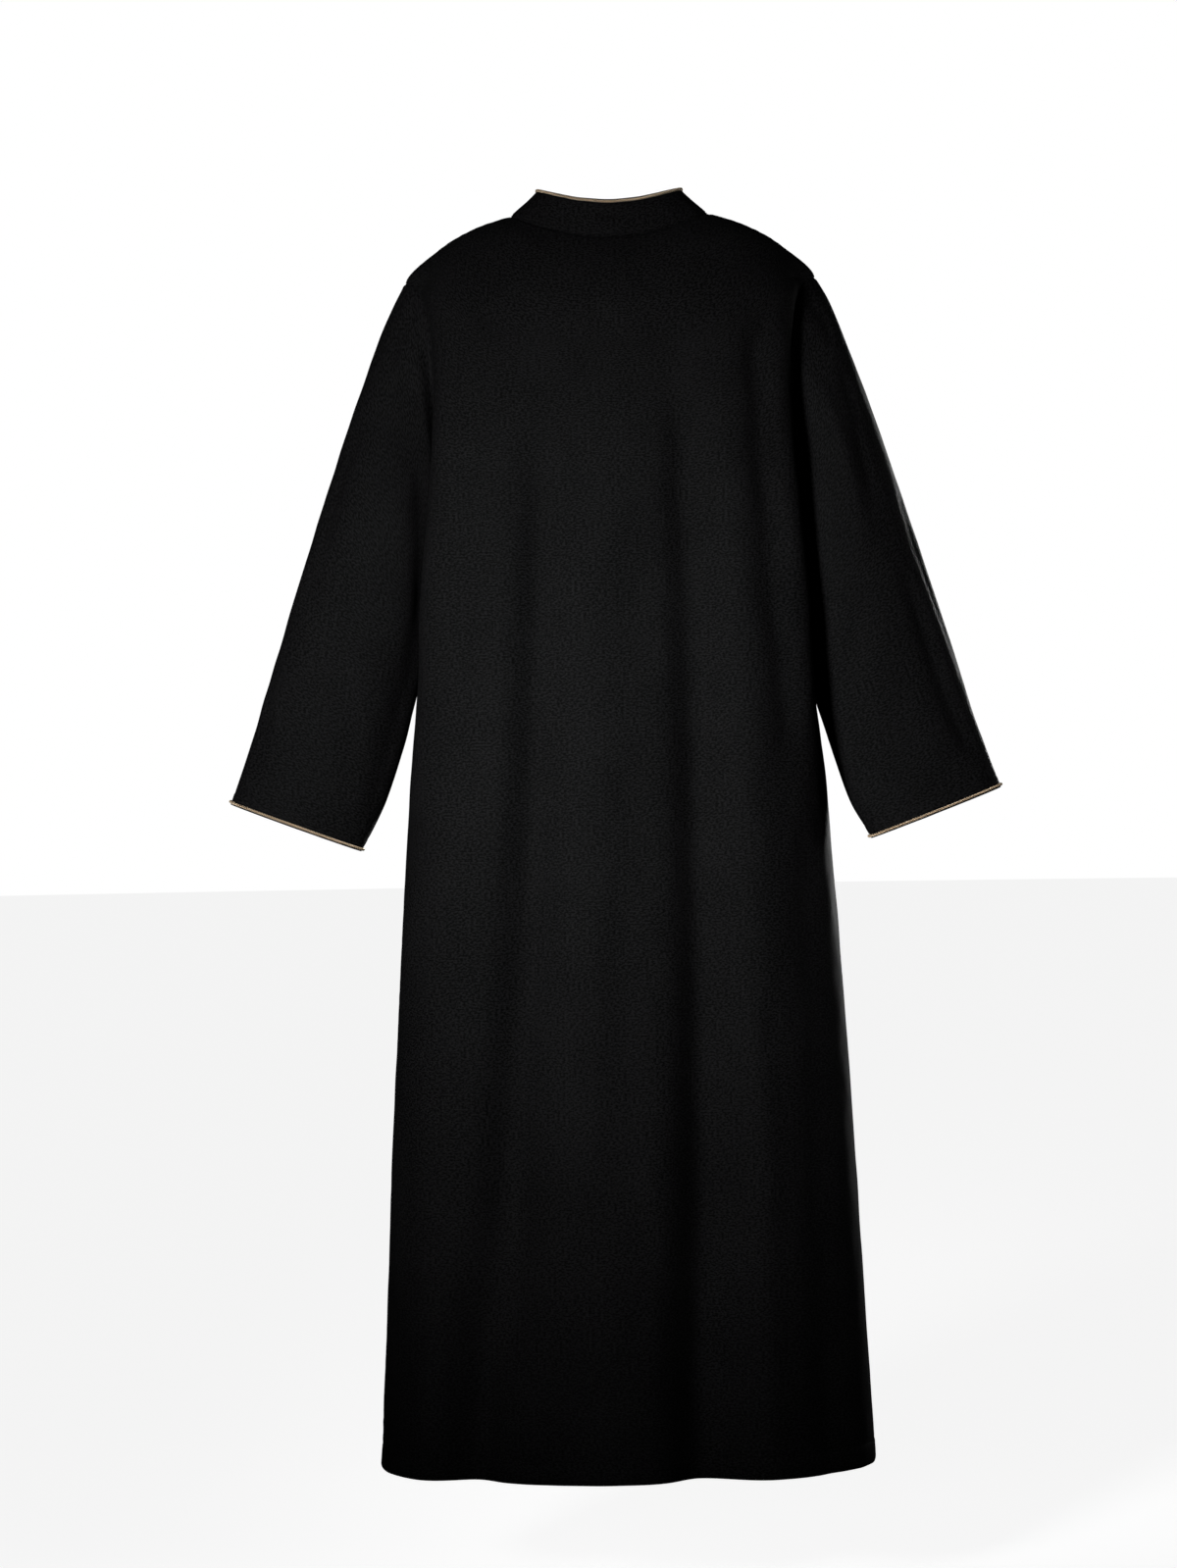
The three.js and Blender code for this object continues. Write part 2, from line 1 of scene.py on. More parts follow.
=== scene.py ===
# %% [markdown]
# A thobe is an ankle-length robe. This one is plain black twill, with a stand collar, long set-in sleeves,
# and a gold cord sewn round the collar's top and both cuffs. Here it is shown filled out, as it hangs on a
# wearer. Its solids come from the frame, so this lesson only gives each solid its cloth: thin, creased and
# stitched.

# %% Load the frame and keep its box
import math
import bpy
import bmesh
import numpy as np
from mathutils import Vector, Matrix


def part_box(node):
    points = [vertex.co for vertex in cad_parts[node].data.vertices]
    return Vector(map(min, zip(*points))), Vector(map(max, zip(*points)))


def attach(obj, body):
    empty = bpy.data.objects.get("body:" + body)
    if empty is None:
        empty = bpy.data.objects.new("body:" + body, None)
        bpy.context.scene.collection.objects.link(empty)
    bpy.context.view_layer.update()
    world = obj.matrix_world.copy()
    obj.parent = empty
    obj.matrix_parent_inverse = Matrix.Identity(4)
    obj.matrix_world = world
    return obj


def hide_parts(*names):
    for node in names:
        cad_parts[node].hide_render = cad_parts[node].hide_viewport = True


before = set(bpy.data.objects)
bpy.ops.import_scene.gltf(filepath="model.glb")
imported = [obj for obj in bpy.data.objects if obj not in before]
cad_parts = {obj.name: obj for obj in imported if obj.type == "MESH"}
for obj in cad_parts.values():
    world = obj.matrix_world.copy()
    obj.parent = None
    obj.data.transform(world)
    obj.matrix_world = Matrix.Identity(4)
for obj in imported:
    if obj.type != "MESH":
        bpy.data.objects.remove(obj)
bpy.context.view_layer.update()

from types import SimpleNamespace

print("frame nodes:", sorted(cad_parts))

# %% [markdown]
# Garment sizes are easiest to think about in millimetres, but Blender works in metres. The tables below are
# in millimetres, one row for each ring of the body or section of the sleeve, and every finished mesh is
# scaled by MM at the end. A smooth curve through a column gives the size between two rows.

# %% Tables with named columns
MM = 0.001


def size_table(names, rows):
    columns = np.array(rows, float).T
    return dict(zip(names.split(), columns))


def column_at(sizes, name, t):
    """The column's value at t, which counts rows: a Catmull-Rom curve through all of them."""
    values = sizes[name]
    last = len(values) - 1
    first = np.clip(np.floor(t), 0, last - 1).astype(int)
    f = t - first
    a, b, c, d = (values[np.clip(first + k, 0, last)] for k in (-1, 0, 1, 2))
    bend = (2 * a - 5 * b + 4 * c - d) * f**2 + (3 * b - a - 3 * c + d) * f**3
    return b + 0.5 * ((c - a) * f + bend)


def sizes_at(sizes, t):
    """All the columns' values at t, each under its column's name."""
    return SimpleNamespace(**{name: column_at(sizes, name, t) for name in sizes})


def named(names, row):
    """A row's values, each under its column's name."""
    return SimpleNamespace(**dict(zip(names.split(), row)))


def ease(t):
    """From 0 at t = 0 to 1 at t = 1, slow at both ends."""
    t = np.clip(t, 0, 1)
    return t * t * (3 - 2 * t)


def signed_power(value, power):
    return np.sign(value) * np.abs(value) ** power


def bell(distance, width):
    """1 at no distance, falling away softly over about this width."""
    return np.exp(-((distance / width) ** 2))


# %% The body's rings and the sleeve's sections
RINGS = size_table(
    "side back front half_width back_depth front_depth square tuck point",
    [
        (2, -28.5, -74, 112, 56, 64, 2, 0, 0),
        (-12, -60, -101, 153, 77, 79, 2.05, 0, 0),
        (-34, -100, -131, 186, 93, 91, 2.2, 0, 5),
        (-71, -148, -167, 202, 103, 99, 3.2, 0, 28),
        (-100, -168, -186, 220, 107, 103, 3.2, 20, 0),
        (-198, -235, -246, 226, 114, 107, 3.9, 44, 0),
        (-325, -335, -338, 241, 117, 108, 4, 65, 0),
        (-440, -441, -441, 255, 117, 108, 3.8, 69, 0),
        (-580, -580, -580, 243, 118, 112, 3.2, 19, 0),
        (-720, -720, -720, 238.5, 124, 119, 2.8, 0, 0),
        (-960, -960, -960, 254, 134, 130, 2.6, 0, 0),
        (-1180, -1180, -1180, 265.5, 143, 140, 2.5, 0, 0),
        (-1394, -1394, -1394, 276.5, 152, 149, 2.5, 0, 0),
    ],
)
SECTIONS = size_table(
    "outer_x outer_z inner_x inner_z depth forward bow square",
    [
        (230, -71, 176, -325, 45, 0, 26, 2),
        (246, -102, 181, -337, 44, 0, 10, 2),
        (264, -147, 185.5, -356, 49, 0, 0, 2),
        (301, -250, 192.5, -402, 61, 1, 0, 2),
        (355, -416, 209, -491, 55, 4, 0, 2.1),
        (405, -575, 250, -632, 41, 9, 0, 2.2),
        (430, -646, 284, -701, 32, 12, 0, 2.2),
    ],
)
SHOULDER_RING = 3
TUCK_SPREAD = 78
POINT_SPREAD = 19
HEM = -1394
SLIT_WIDTH = 1.2
SLIT_BOTTOM = -470
PLACKET_HALF = 16
WALL = 2  # the solids' wall, which sets how far one layer stands off another
MIRROR = np.array([-1, 1, 1])  # from the wearer's left to the right
print("rings:", len(RINGS["side"]), "sleeve sections:", len(SECTIONS["depth"]))

# %% [markdown]
# The body is a stack of rounded rings, squarer across the chest than at the hem. Angle 0 is the wearer's
# left and a quarter turn is the middle of the back. The sleeve is a stack of tilted rings, and the first of
# them is the armhole, so body and sleeve share every point of that seam.

# %% Points on the body and on the sleeve
def ring_point(t, angle):
    """A point of the body's ring t."""
    c, s = np.cos(angle), np.sin(angle)
    at = sizes_at(RINGS, t)
    at_back = s >= 0
    depth = np.where(at_back, at.back_depth, at.front_depth)
    middle = np.where(at_back, at.back, at.front)
    power = 2 / at.square
    y = signed_power(s, power) * depth
    width = at.half_width - at.tuck * bell(y, TUCK_SPREAD) + at.point * bell(y, POINT_SPREAD)
    x = signed_power(c, power) * width
    return np.stack(np.broadcast_arrays(x, y, at.side + (middle - at.side) * s * s), -1)


def ring_at_side(height):
    """The ring, as a row number, whose side is at this height."""
    low, high = 0.0, len(RINGS["side"]) - 1.0
    for _ in range(40):
        middle = (low + high) / 2
        if column_at(RINGS, "side", middle) > height:
            low = middle
        else:
            high = middle
    return (low + high) / 2


def sleeve_point(t, angle):
    """A point of the wearer's left sleeve. Angle 0 is the underarm and a quarter turn is the front."""
    c, s = np.cos(angle), np.sin(angle)
    at = sizes_at(SECTIONS, t)
    power = 2 / at.square
    along = signed_power(c, power) / 2
    x = (at.outer_x + at.inner_x) / 2 - along * (at.outer_x - at.inner_x)
    y = -signed_power(s, power) * at.depth - at.forward
    z = (at.outer_z + at.inner_z) / 2 - along * (at.outer_z - at.inner_z)
    x = x - at.bow * np.abs(s) ** 0.8 * (1 - c) / 2
    return np.stack(np.broadcast_arrays(x, y, z), -1)


UNDERARM = float(sleeve_point(0.0, 0.0)[2])
print("underarm height:", round(UNDERARM, 1), "mm")

# %% [markdown]
# Cloth is drawn as a grid: rows run down the robe and columns run across it. Rows and columns are closer
# together next to seams and hems, because that is where cloth bends sharply: it rolls into a seam, and it
# is doubled at a hem. Elsewhere steps of three to eight millimetres are fine enough for soft folds.

# %% Rows and columns of a body panel
SHOULDER_ROWS = 44
ARMHOLE_ROWS = 72
SKIRT_ROWS = 150
HALF_COLUMNS = 60
SEAM_STEPS = np.array([0, 0.9, 2.0, 3.4])  # distances from a seam at which its roll is drawn
HEM_STEPS = np.array([30, 27, 25.2, 24, 22.8, 21, 17, 12, 7, 3.5, 1.4, 0.4, 0])  # heights above the hem
HEM_ROW, HEM_TURN = 24, 27  # heights above the hem of its stitching and of its turned-up edge
CENTRE_STEPS = np.array([12, 8, 4, SLIT_WIDTH / 2])  # distances from the middle of the front


def body_rows(turn):
    """Each row's ring and its point on the seam at its side. turn is 1 at the back and -1 in front."""
    neck = [0, 0.02, 0.045, 0.075]
    shoulder = [*neck, *np.linspace(0.11, SHOULDER_RING, SHOULDER_ROWS, endpoint=False)]
    rows = [(t, ring_point(t, 0.0)) for t in map(float, shoulder)]
    for i in range(ARMHOLE_ROWS):
        edge = sleeve_point(0.0, math.pi * (1 + turn * i / ARMHOLE_ROWS))
        rows.append((ring_at_side(edge[2]), edge))
    heights = UNDERARM + (HEM + 33 - UNDERARM) * np.linspace(0, 1, SKIRT_ROWS) ** 1.1
    for height in [*heights, *(HEM + HEM_STEPS)]:
        t = ring_at_side(height)
        rows.append((t, ring_point(t, 0.0)))
    return rows


def arc_lengths(grid, axis):
    """Distance along a line, or along the rows or the columns of a grid."""
    steps = np.linalg.norm(np.diff(grid, axis=axis), axis=-1)
    start = np.zeros_like(np.take(grid, [0], axis)[..., 0])
    return np.concatenate([start, np.cumsum(steps, axis)], axis)


def spread(length, seam_at_centre):
    """Distances of a half row's columns from its side edge."""
    end = length - (PLACKET_HALF if seam_at_centre else 0)
    columns = [*SEAM_STEPS, *np.linspace(5.2, end, HALF_COLUMNS)]
    if seam_at_centre:
        columns += list(length - CENTRE_STEPS)
    return np.array(columns)


def half_row(ring, edge, turn):
    """Half of a row, from its edge at the wearer's left to the middle of the back or front."""
    depth = float(column_at(RINGS, "back_depth" if turn > 0 else "front_depth", ring))
    start = math.asin((abs(edge[1]) / depth) ** (float(column_at(RINGS, "square", ring)) / 2))
    share = np.linspace(0, 1, 301)
    line = ring_point(ring, turn * (start + (math.pi / 2 - start) * ease(ease(share))))
    line = line + (edge - line[0]) * ((1 - ease(share)) ** 4)[:, None]
    line[-1, 0] = 0
    lengths = arc_lengths(line, 0)
    distances = spread(lengths[-1], turn < 0)
    return np.stack([np.interp(distances, lengths, line[:, k]) for k in range(3)], -1)


def body_panel(turn):
    rows = []
    for ring, edge in body_rows(turn):
        left = half_row(ring, edge, turn)
        right = left * MIRROR
        rows.append(np.concatenate([left, right[:-1][::-1]] if turn > 0 else [right, left[::-1]]))
    return np.array(rows)


back_form = body_panel(1)
front_form = body_panel(-1)
print("back grid:", back_form.shape[:2], "front grid:", front_form.shape[:2])

# %% [markdown]
# A hanging robe falls into a few long folds. Each is one row of a table: where it starts, where it passes
# and where it ends, how deep and how wide it is. A fold presses the cloth in along its normal, and a
# negative depth lifts it into a ridge. The smaller creases wander a little, so their paths also waver by a
# few millimetres.

# %% The long folds
FOLD_COLUMNS = "face x_top x_mid x_end z_top z_end depth_top depth_end half_top half_end"
FOLDS = [
    (1, 80, 107, 178, -190, HEM, 8, 33, 18, 38),
    (1, -68, -87, -80, -130, HEM, 10, 38, 18, 36),
    (1, -158, -170, -198, -85, -640, 8, 9, 16, 20),
    (1, 10, 25, 20, -195, HEM, -3, -8, 30, 45),
    (1, -120, -150, -165, -131, HEM, -3, -8, 22, 38),
    (-1, 98, 112, 128, -240, HEM, 7, 23, 17, 36),
    (-1, -84, -104, -96, -200, HEM, 7, 21, 17, 34),
    (-1, -30, -10, 22, -640, HEM, 3, 15, 22, 34),
    (-1, -170, -180, -196, -560, HEM, 5, 14, 20, 32),
]
# Smaller creases between the folds, which are too fine for the solids
CREASES = [
    (1, 133, 138, 131, -68, -150, 2.2, 1.6, 9, 8),
    (1, 168, 176, 172, -120, -420, 1.6, 2.0, 8, 11),
    (1, 150, 158, 176, -360, -760, 1.8, 1.6, 9, 14),
    (1, 44, 30, 12, -210, -520, 1.2, 1.6, 12, 16),
    (1, -12, 4, 14, -560, -1120, 1.4, 2.4, 15, 20),
    (1, 92, 104, 128, -620, -1260, 2.0, 3.0, 12, 17),
    (1, 205, 212, 220, -560, HEM, -2.0, -8.0, 18, 28),
    (1, -104, -100, -92, -260, -640, 1.5, 1.8, 9, 12),
    (1, -206, -214, -228, -620, HEM, 2.2, 6.0, 13, 22),
    (1, -160, -170, -176, -820, HEM, 2.0, 4.5, 14, 20),
    (1, -22, -30, -26, -760, -1380, -1.2, -2.2, 12, 16),
    (1, 160, 150, 140, -980, HEM, -1.4, -3.4, 14, 18),
    (1, -180, -168, -150, -96, -190, 1.6, 1.0, 7, 8),
    (-1, 140, 150, 158, -110, -360, 2.0, 1.8, 10, 12),
    (-1, -140, -152, -160, -110, -380, 1.8, 2.0, 10, 12),
    (-1, 52, 60, 74, -560, -1180, 1.8, 3.0, 13, 18),
    (-1, -56, -50, -44, -620, -1300, 1.6, 3.0, 13, 18),
    (-1, 204, 214, 226, -640, HEM, 2.4, 5.5, 14, 22),
    (-1, -218, -226, -236, -760, HEM, 2.2, 5.0, 14, 22),
    (-1, 160, 170, 176, -860, HEM, -1.6, -4.0, 14, 20),
    (-1, -140, -150, -152, -900, HEM, -1.6, -4.0, 14, 20),
]
FOLD_FADE = 0.16
FOLD_SIDE_FADE = 55
STEEP_SIDE, GENTLE_SIDE = 0.9, 1.35  # a valley drops steeply on the wearer's left and rises gently again


def fold_depth(points, face, rows, waver=0.0):
    """How far the folds of one face press in each point, in millimetres."""
    x, z = points[..., 0], points[..., 2]
    total = np.zeros(x.shape)
    for n, row in enumerate(rows):
        fold = named(FOLD_COLUMNS, row)
        if fold.face != face:
            continue
        f = (z - fold.z_top) / (fold.z_end - fold.z_top)
        bend = fold.x_top - 2 * fold.x_mid + fold.x_end
        path = fold.x_top + (4 * fold.x_mid - 3 * fold.x_top - fold.x_end) * f + 2 * bend * f * f
        path = path + waver * np.sin(z / 61 + 1.7 * n) * np.sin(z / 143 + n)
        half = fold.half_top + (fold.half_end - fold.half_top) * f
        fade = ease(f / FOLD_FADE)
        if fold.z_end != HEM:
            fade = fade * ease((1 - f) / FOLD_FADE)
        deepest = fold.depth_top + (fold.depth_end - fold.depth_top) * f
        uneven = 1 + (0.12 * np.sin(z / 83 + 2.3 * n) if waver else 0)
        inside = (f > 0) & (f <= 1.001)
        if fold.depth_end > 0:
            half = half * np.where(x > path, STEEP_SIDE, GENTLE_SIDE)
        total += np.where(inside, deepest * uneven * fade * bell(x - path, half), 0)
    return total


print("folds:", len(FOLDS), "creases:", len(CREASES))

# %% [markdown]
# Normals of a grid come from its neighbours. They give the direction in which a fold presses and in which
# the cloth has its thickness. Slow, seeded ripples keep the broad areas from looking like plastic.

# %% Normals and soft unevenness
def grid_normals(grid, closed=False):
    down = np.gradient(grid, axis=0)
    across = np.roll(grid, -1, 1) - np.roll(grid, 1, 1) if closed else np.gradient(grid, axis=1)
    normals = np.cross(down, across)
    return normals / np.linalg.norm(normals, axis=-1, keepdims=True)


def ripples(points, seed, long_wave, short_wave, count=14):
    """Unevenness between about -1 and 1: a seeded sum of slanted waves, longest down the robe."""
    chance = np.random.default_rng(seed)
    total = np.zeros(points.shape[:-1])
    for _ in range(count):
        wave = 1 / np.array([chance.uniform(*limits) for limits in (short_wave, short_wave, long_wave)])
        wave *= chance.choice([-1, 1], 3)
        total += np.sin(points @ (2 * math.pi * wave) + chance.uniform(0, 2 * math.pi))
    return total / math.sqrt(count) / 1.4


sample = ripples(back_form, 3, (300, 700), (120, 260))
print("ripples on the back lie within", np.round([sample.min(), sample.max()], 2))

# %% [markdown]
# A seam pulls its cloth in a little, and the thread gathers it into small puckers. Both fade within a
# centimetre or two. The hem is doubled, so it stands out slightly and is drawn in along its stitching.

# %% Seams that roll in and pucker
SEAM_SINK = 1.35
PUCKER = 0.5


def seam_dip(distance, along, seed):
    """How far cloth lies below its smooth form at a distance from a seam."""
    chance = np.random.default_rng(seed)
    wave = sum(np.sin(2 * math.pi * along / chance.uniform(9, 19) + chance.uniform(0, 6.3)) for _ in range(4))
    patchy = 0.6 + 0.4 * np.sin(along / 37 + seed)
    return SEAM_SINK * bell(distance, 2.2) + PUCKER * patchy * wave / 3 * bell(distance, 9)


def dress_panel(form, face, seed):
    """A body panel's outer surface with its folds, creases, seams and hem."""
    normals = grid_normals(form)
    to_edge = np.minimum(*(np.linalg.norm(form - edge, axis=-1) for edge in (form[:, :1], form[:, -1:])))
    press = fold_depth(form, face, FOLDS) + fold_depth(form, face, CREASES, waver=5.0)
    press = press * ease(to_edge / FOLD_SIDE_FADE)
    down = arc_lengths(form, 0)
    calm = ease(to_edge / 40) * ease(down / 60)
    press = press - 0.9 * calm * ripples(form, seed, (260, 620), (70, 170))
    press = press - 0.35 * ease(to_edge / 15) * ripples(form, seed + 1, (60, 140), (30, 60))
    press = press + seam_dip(to_edge, down, seed + 2) + 0.6 * seam_dip(down, arc_lengths(form, 1), seed + 3)
    # the neck's seam, under the collar, lies deeper than the shoulders' seams
    press = press + 1.4 * bell(down, 2) * ease((105 - np.abs(form[..., 0])) / 20)
    # the hem is doubled, held down along its stitching, and waves a little
    above_hem = form[..., 2] - HEM
    press = press - 0.45 * ease((HEM_TURN - above_hem) / 3)
    press = press + 0.9 * bell(above_hem - HEM_ROW, 1.6) + 1.1 * bell(above_hem, 1.6)
    waves = sum(np.sin(2 * math.pi * form[..., 0] / w + seed + w) for w in (17, 23, 31))
    press = press - 0.25 * waves * bell(above_hem - 22, 14)
    return form - normals * press[..., None]


back_grid = dress_panel(back_form, 1, 11)
front_grid = dress_panel(front_form, -1, 23)
print("back reaches", np.round(back_grid.max((0, 1)), 1))
print("front reaches", np.round(front_grid.min((0, 1)), 1))

# %% [markdown]
# The sleeves hang from the shoulders and narrow to the wrist. They crease where the arm bends the cloth:
# drag lines below the sleeve head, soft slanting folds at the elbow and a few short ones above the cuff.
# The two sleeves crease differently, so each has its own table, with the angle round the sleeve in degrees.
# Along the armhole, each sleeve and the body are given the same points, halfway between the two.

# %% The sleeves
SLEEVE_CREASE_COLUMNS = "angle_top angle_end along_top along_end depth half"
SLEEVE_CREASES = {
    "left": [
        (205, 232, 0.02, 0.34, 3.2, 13),
        (262, 236, 0.05, 0.5, 4.0, 15),
        (222, 214, 0.36, 0.72, 3.0, 13),
        (296, 322, 0.3, 0.66, 4.0, 16),
        (250, 300, 0.6, 0.9, 2.6, 12),
        (198, 226, 0.72, 0.96, 2.2, 11),
        (150, 124, 0.03, 0.42, 3.2, 14),
        (96, 76, 0.1, 0.55, 4.0, 16),
        (58, 36, 0.42, 0.8, 3.4, 15),
        (138, 110, 0.55, 0.93, 2.6, 12),
        (236, 246, 0.1, 0.6, -2.2, 12),
        (118, 110, 0.1, 0.6, -2.0, 12),
        (322, 334, 0.02, 0.97, 6.5, 22),
    ],
    "right": [
        (200, 222, 0.03, 0.3, 2.6, 12),
        (250, 256, 0.06, 0.64, -4.4, 13),
        (282, 300, 0.08, 0.6, 4.6, 16),
        (224, 236, 0.3, 0.62, 2.6, 12),
        (238, 214, 0.6, 0.92, 5.0, 13),
        (276, 318, 0.62, 0.9, 3.0, 13),
        (196, 200, 0.52, 0.8, 2.0, 10),
        (152, 130, 0.04, 0.38, 3.0, 14),
        (100, 88, 0.08, 0.5, 3.8, 16),
        (62, 44, 0.4, 0.82, 3.6, 15),
        (134, 116, 0.5, 0.9, 2.8, 12),
        (112, 120, 0.1, 0.56, -2.2, 12),
    ],
}
SLEEVE_ROWS = 132
SLEEVE_LENGTH = 610
SLEEVE_HANG = {"left": (5.5, 0, -6), "right": (0, 0, 0)}  # the left one hangs lower and further out
SLEEVE_TUCK = {"left": 14.0, "right": 5.5}  # how deep the cloth tucks in behind the arm
TUCK_ANGLE, TUCK_HALF = 292, 46  # degrees round the sleeve
SLEEVE_COLUMNS = 2 * ARMHOLE_ROWS
CUFF_STEPS = np.array([18, 16.2, 15, 13.8, 12, 9, 6, 3.5, 1.4, 0.4, 0])  # heights above the cuff's edge
CUFF_ROW, CUFF_TURN = 15, 18  # heights above it of the stitching and of the turned-up edge
CUFF_CORD_INSET = 3.0


def sleeve_form():
    last = len(SECTIONS["depth"]) - 1.0
    head = SEAM_STEPS * last / SLEEVE_LENGTH * 0.9
    cuff = last * (1 - CUFF_STEPS / SLEEVE_LENGTH)
    stations = np.concatenate([head, np.linspace(0.06, last - 0.22, SLEEVE_ROWS), cuff])
    angles = 2 * math.pi * np.arange(SLEEVE_COLUMNS) / SLEEVE_COLUMNS
    return sleeve_point(stations[:, None], angles[None, :]), stations / last, np.degrees(angles)


def dress_sleeve(name, seed):
    form, along, degrees = sleeve_form()
    normals = grid_normals(form, closed=True)
    around = arc_lengths(np.concatenate([form, form[:, :1]], 1), 1)
    girth = around[:, -1:]
    press = np.zeros(form.shape[:2])
    for n, row in enumerate(SLEEVE_CREASES[name]):
        crease = named(SLEEVE_CREASE_COLUMNS, row)
        f = (along - crease.along_top) / (crease.along_end - crease.along_top)
        path = crease.angle_top + (crease.angle_end - crease.angle_top) * f + 4 * np.sin(6 * f + n)
        apart = (degrees[None, :] - path[:, None] + 180) % 360 - 180
        shape = bell(apart / 360 * girth, crease.half)
        strength = np.where((f > 0) & (f < 1), ease(f / 0.3) * ease((1 - f) / 0.3), 0)
        press += crease.depth * strength[:, None] * shape
    down = arc_lengths(form, 0)
    above_cuff = down[-1:] - down
    calm = ease(down / 30) * ease(above_cuff / 40)
    press -= 0.8 * calm * ripples(form, seed, (150, 420), (60, 150))
    press -= 0.3 * ease(down / 15) * ripples(form, seed + 1, (50, 110), (28, 55))
    press += seam_dip(down, around[:, :-1], seed + 2)
    # behind the arm the sleeve tucks in under the body's edge
    behind = bell(((degrees - TUCK_ANGLE) / TUCK_HALF) ** 2, 1)
    press += SLEEVE_TUCK[name] * bell(down - 13, 9.5) * ease(down / 9) * behind
    # the cuff is doubled, and held down along its stitching and its cord
    press -= 0.4 * ease((CUFF_TURN - above_cuff) / 2.5)
    press += 0.7 * bell(above_cuff - CUFF_ROW, 1.4) + 0.5 * bell(above_cuff - CUFF_CORD_INSET, 1.8)
    # the one lengthwise seam runs down from the underarm
    to_seam = np.minimum(around[:, :-1], girth - around[:, :-1])
    press += SEAM_SINK * bell(to_seam, 2.4) * ease(down / 12)
    hang = ease(along).reshape(-1, 1, 1) * np.array(SLEEVE_HANG[name])
    return form - normals * press[..., None] + hang, form + hang


sleeves, sleeve_shapes = {}, {}
for name, seed in (("left", 41), ("right", 57)):
    sleeves[name], sleeve_shapes[name] = dress_sleeve(name, seed)
for table in (sleeves, sleeve_shapes):
    table["right"] = (table["right"] * MIRROR)[:, ::-1]
print("sleeve grid:", sleeves["left"].shape[:2])

# %% Share the armhole's points between body and sleeve
first_arm_row = len(back_form) - ARMHOLE_ROWS - SKIRT_ROWS - len(HEM_STEPS)
for side, grid in sleeves.items():
    for column in range(SLEEVE_COLUMNS):
        place = column if side == "left" else SLEEVE_COLUMNS - 1 - column
        turned = place - ARMHOLE_ROWS  # 0 at the shoulder point, growing towards the back
        panel = back_grid if turned >= 0 else front_grid
        row, edge = first_arm_row + abs(turned), 0 if (side == "left") == (panel is back_grid) else -1
        panel[row, edge] = grid[0, column] = (panel[row, edge] + grid[0, column]) / 2
print("armhole points shared:", 2 * SLEEVE_COLUMNS)

# %% [markdown]
# The collar stands on the neck seam and leans in towards the neck. Its ends overlap at the middle of the
# front, the wearer's left end over the right one, so the left end has to climb on to the other. The
# plackets are folded strips that lie outside and behind the front's edges beside the slit.

# %% The collar's form
COLLAR_HALF_WIDTH, COLLAR_BACK, COLLAR_FRONT = 79, 52, 78
COLLAR_SIDE_HEIGHT, COLLAR_BACK_HEIGHT, COLLAR_FRONT_HEIGHT = 31, 11.5, -36
LAP_LENGTH = 60
COLLAR_ROW, EDGE_ROW = 3.6, 6.5  # the topstitching above the collar's seam and below its edge
SEAM_GAP = 0.3
slit_column = front_grid.shape[1] // 2 - 1  # the last column of points before the slit
placket_columns = np.arange(slit_column - 4, slit_column + 6)


def neck_loop():
    """The neck seam, from the left end of the collar round the back to its right end."""
    start, end = placket_columns[0], placket_columns[-1]
    return np.concatenate([front_grid[0, start:], back_grid[0, 1:], front_grid[0, 1 : end + 1]])


def collar_top(seam):
    at_back = seam[:, 1] > 0
    turned = seam[:, 1] / np.where(at_back, RINGS["back_depth"][0], RINGS["front_depth"][0])
    middle = np.where(at_back, COLLAR_BACK_HEIGHT, COLLAR_FRONT_HEIGHT)
    x = seam[:, 0] / RINGS["half_width"][0] * COLLAR_HALF_WIDTH
    y = turned * np.where(at_back, COLLAR_BACK, COLLAR_FRONT)
    z = COLLAR_SIDE_HEIGHT + (middle - COLLAR_SIDE_HEIGHT) * turned**2
    return np.stack([x, y, z], -1)


def collar_grid():
    seam = neck_loop()
    top = collar_top(seam)
    by_seam = [0.89, 0.912, 0.93, 0.945, 0.962, 0.978, 0.99, 1]
    down = np.array([0, 0.012, 0.04, *np.linspace(0.08, 0.86, 16), *by_seam])
    grid = top[None] + (seam - top)[None] * down[:, None, None]
    normals = grid_normals(grid)
    length = arc_lengths(grid, 1)
    height = arc_lengths(grid, 0)
    total_height = height[-1:]
    # the wearer's left end climbs on to the other
    rise = ease((LAP_LENGTH - length[-1]) / (LAP_LENGTH - 2 * PLACKET_HALF)) * (WALL + SEAM_GAP) * 1.15
    share = height / total_height
    bulge = 0.5 * ripples(grid, 71, (60, 160), (45, 110)) * np.sin(math.pi * np.clip(share, 0, 1))
    # a short dent across the middle of the back, where the band is bent
    dent = np.where(grid[..., 1] > 0, 4.2 * bell(grid[..., 0], 16) * bell(share - 0.42, 0.085), 0)
    above_seam = total_height - height
    puckers = 0.35 * np.sin(2 * math.pi * length / 7.3) * np.sin(length / 19) * bell(above_seam, 6)
    press = dent + puckers - bulge + 0.5 * bell(height, 1.2)
    press = press + 2.4 * bell(above_seam, 1.7) + 0.7 * bell(above_seam - COLLAR_ROW, 0.9)
    return grid + normals * (rise[None] - press)[..., None]


collar = collar_grid()
print("length of the collar's seam:", round(float(arc_lengths(collar, 1)[-1, -1])), "mm")

# %% [markdown]
# A sheet in Blender is a closed shell: an outer skin, an inner skin a cloth's thickness behind it, and
# narrow strips that join them along every edge. Building both skins from the same grid keeps the wall even
# and gives the cloth a UV map in metres, so that the weave keeps its scale and follows the thread
# direction.

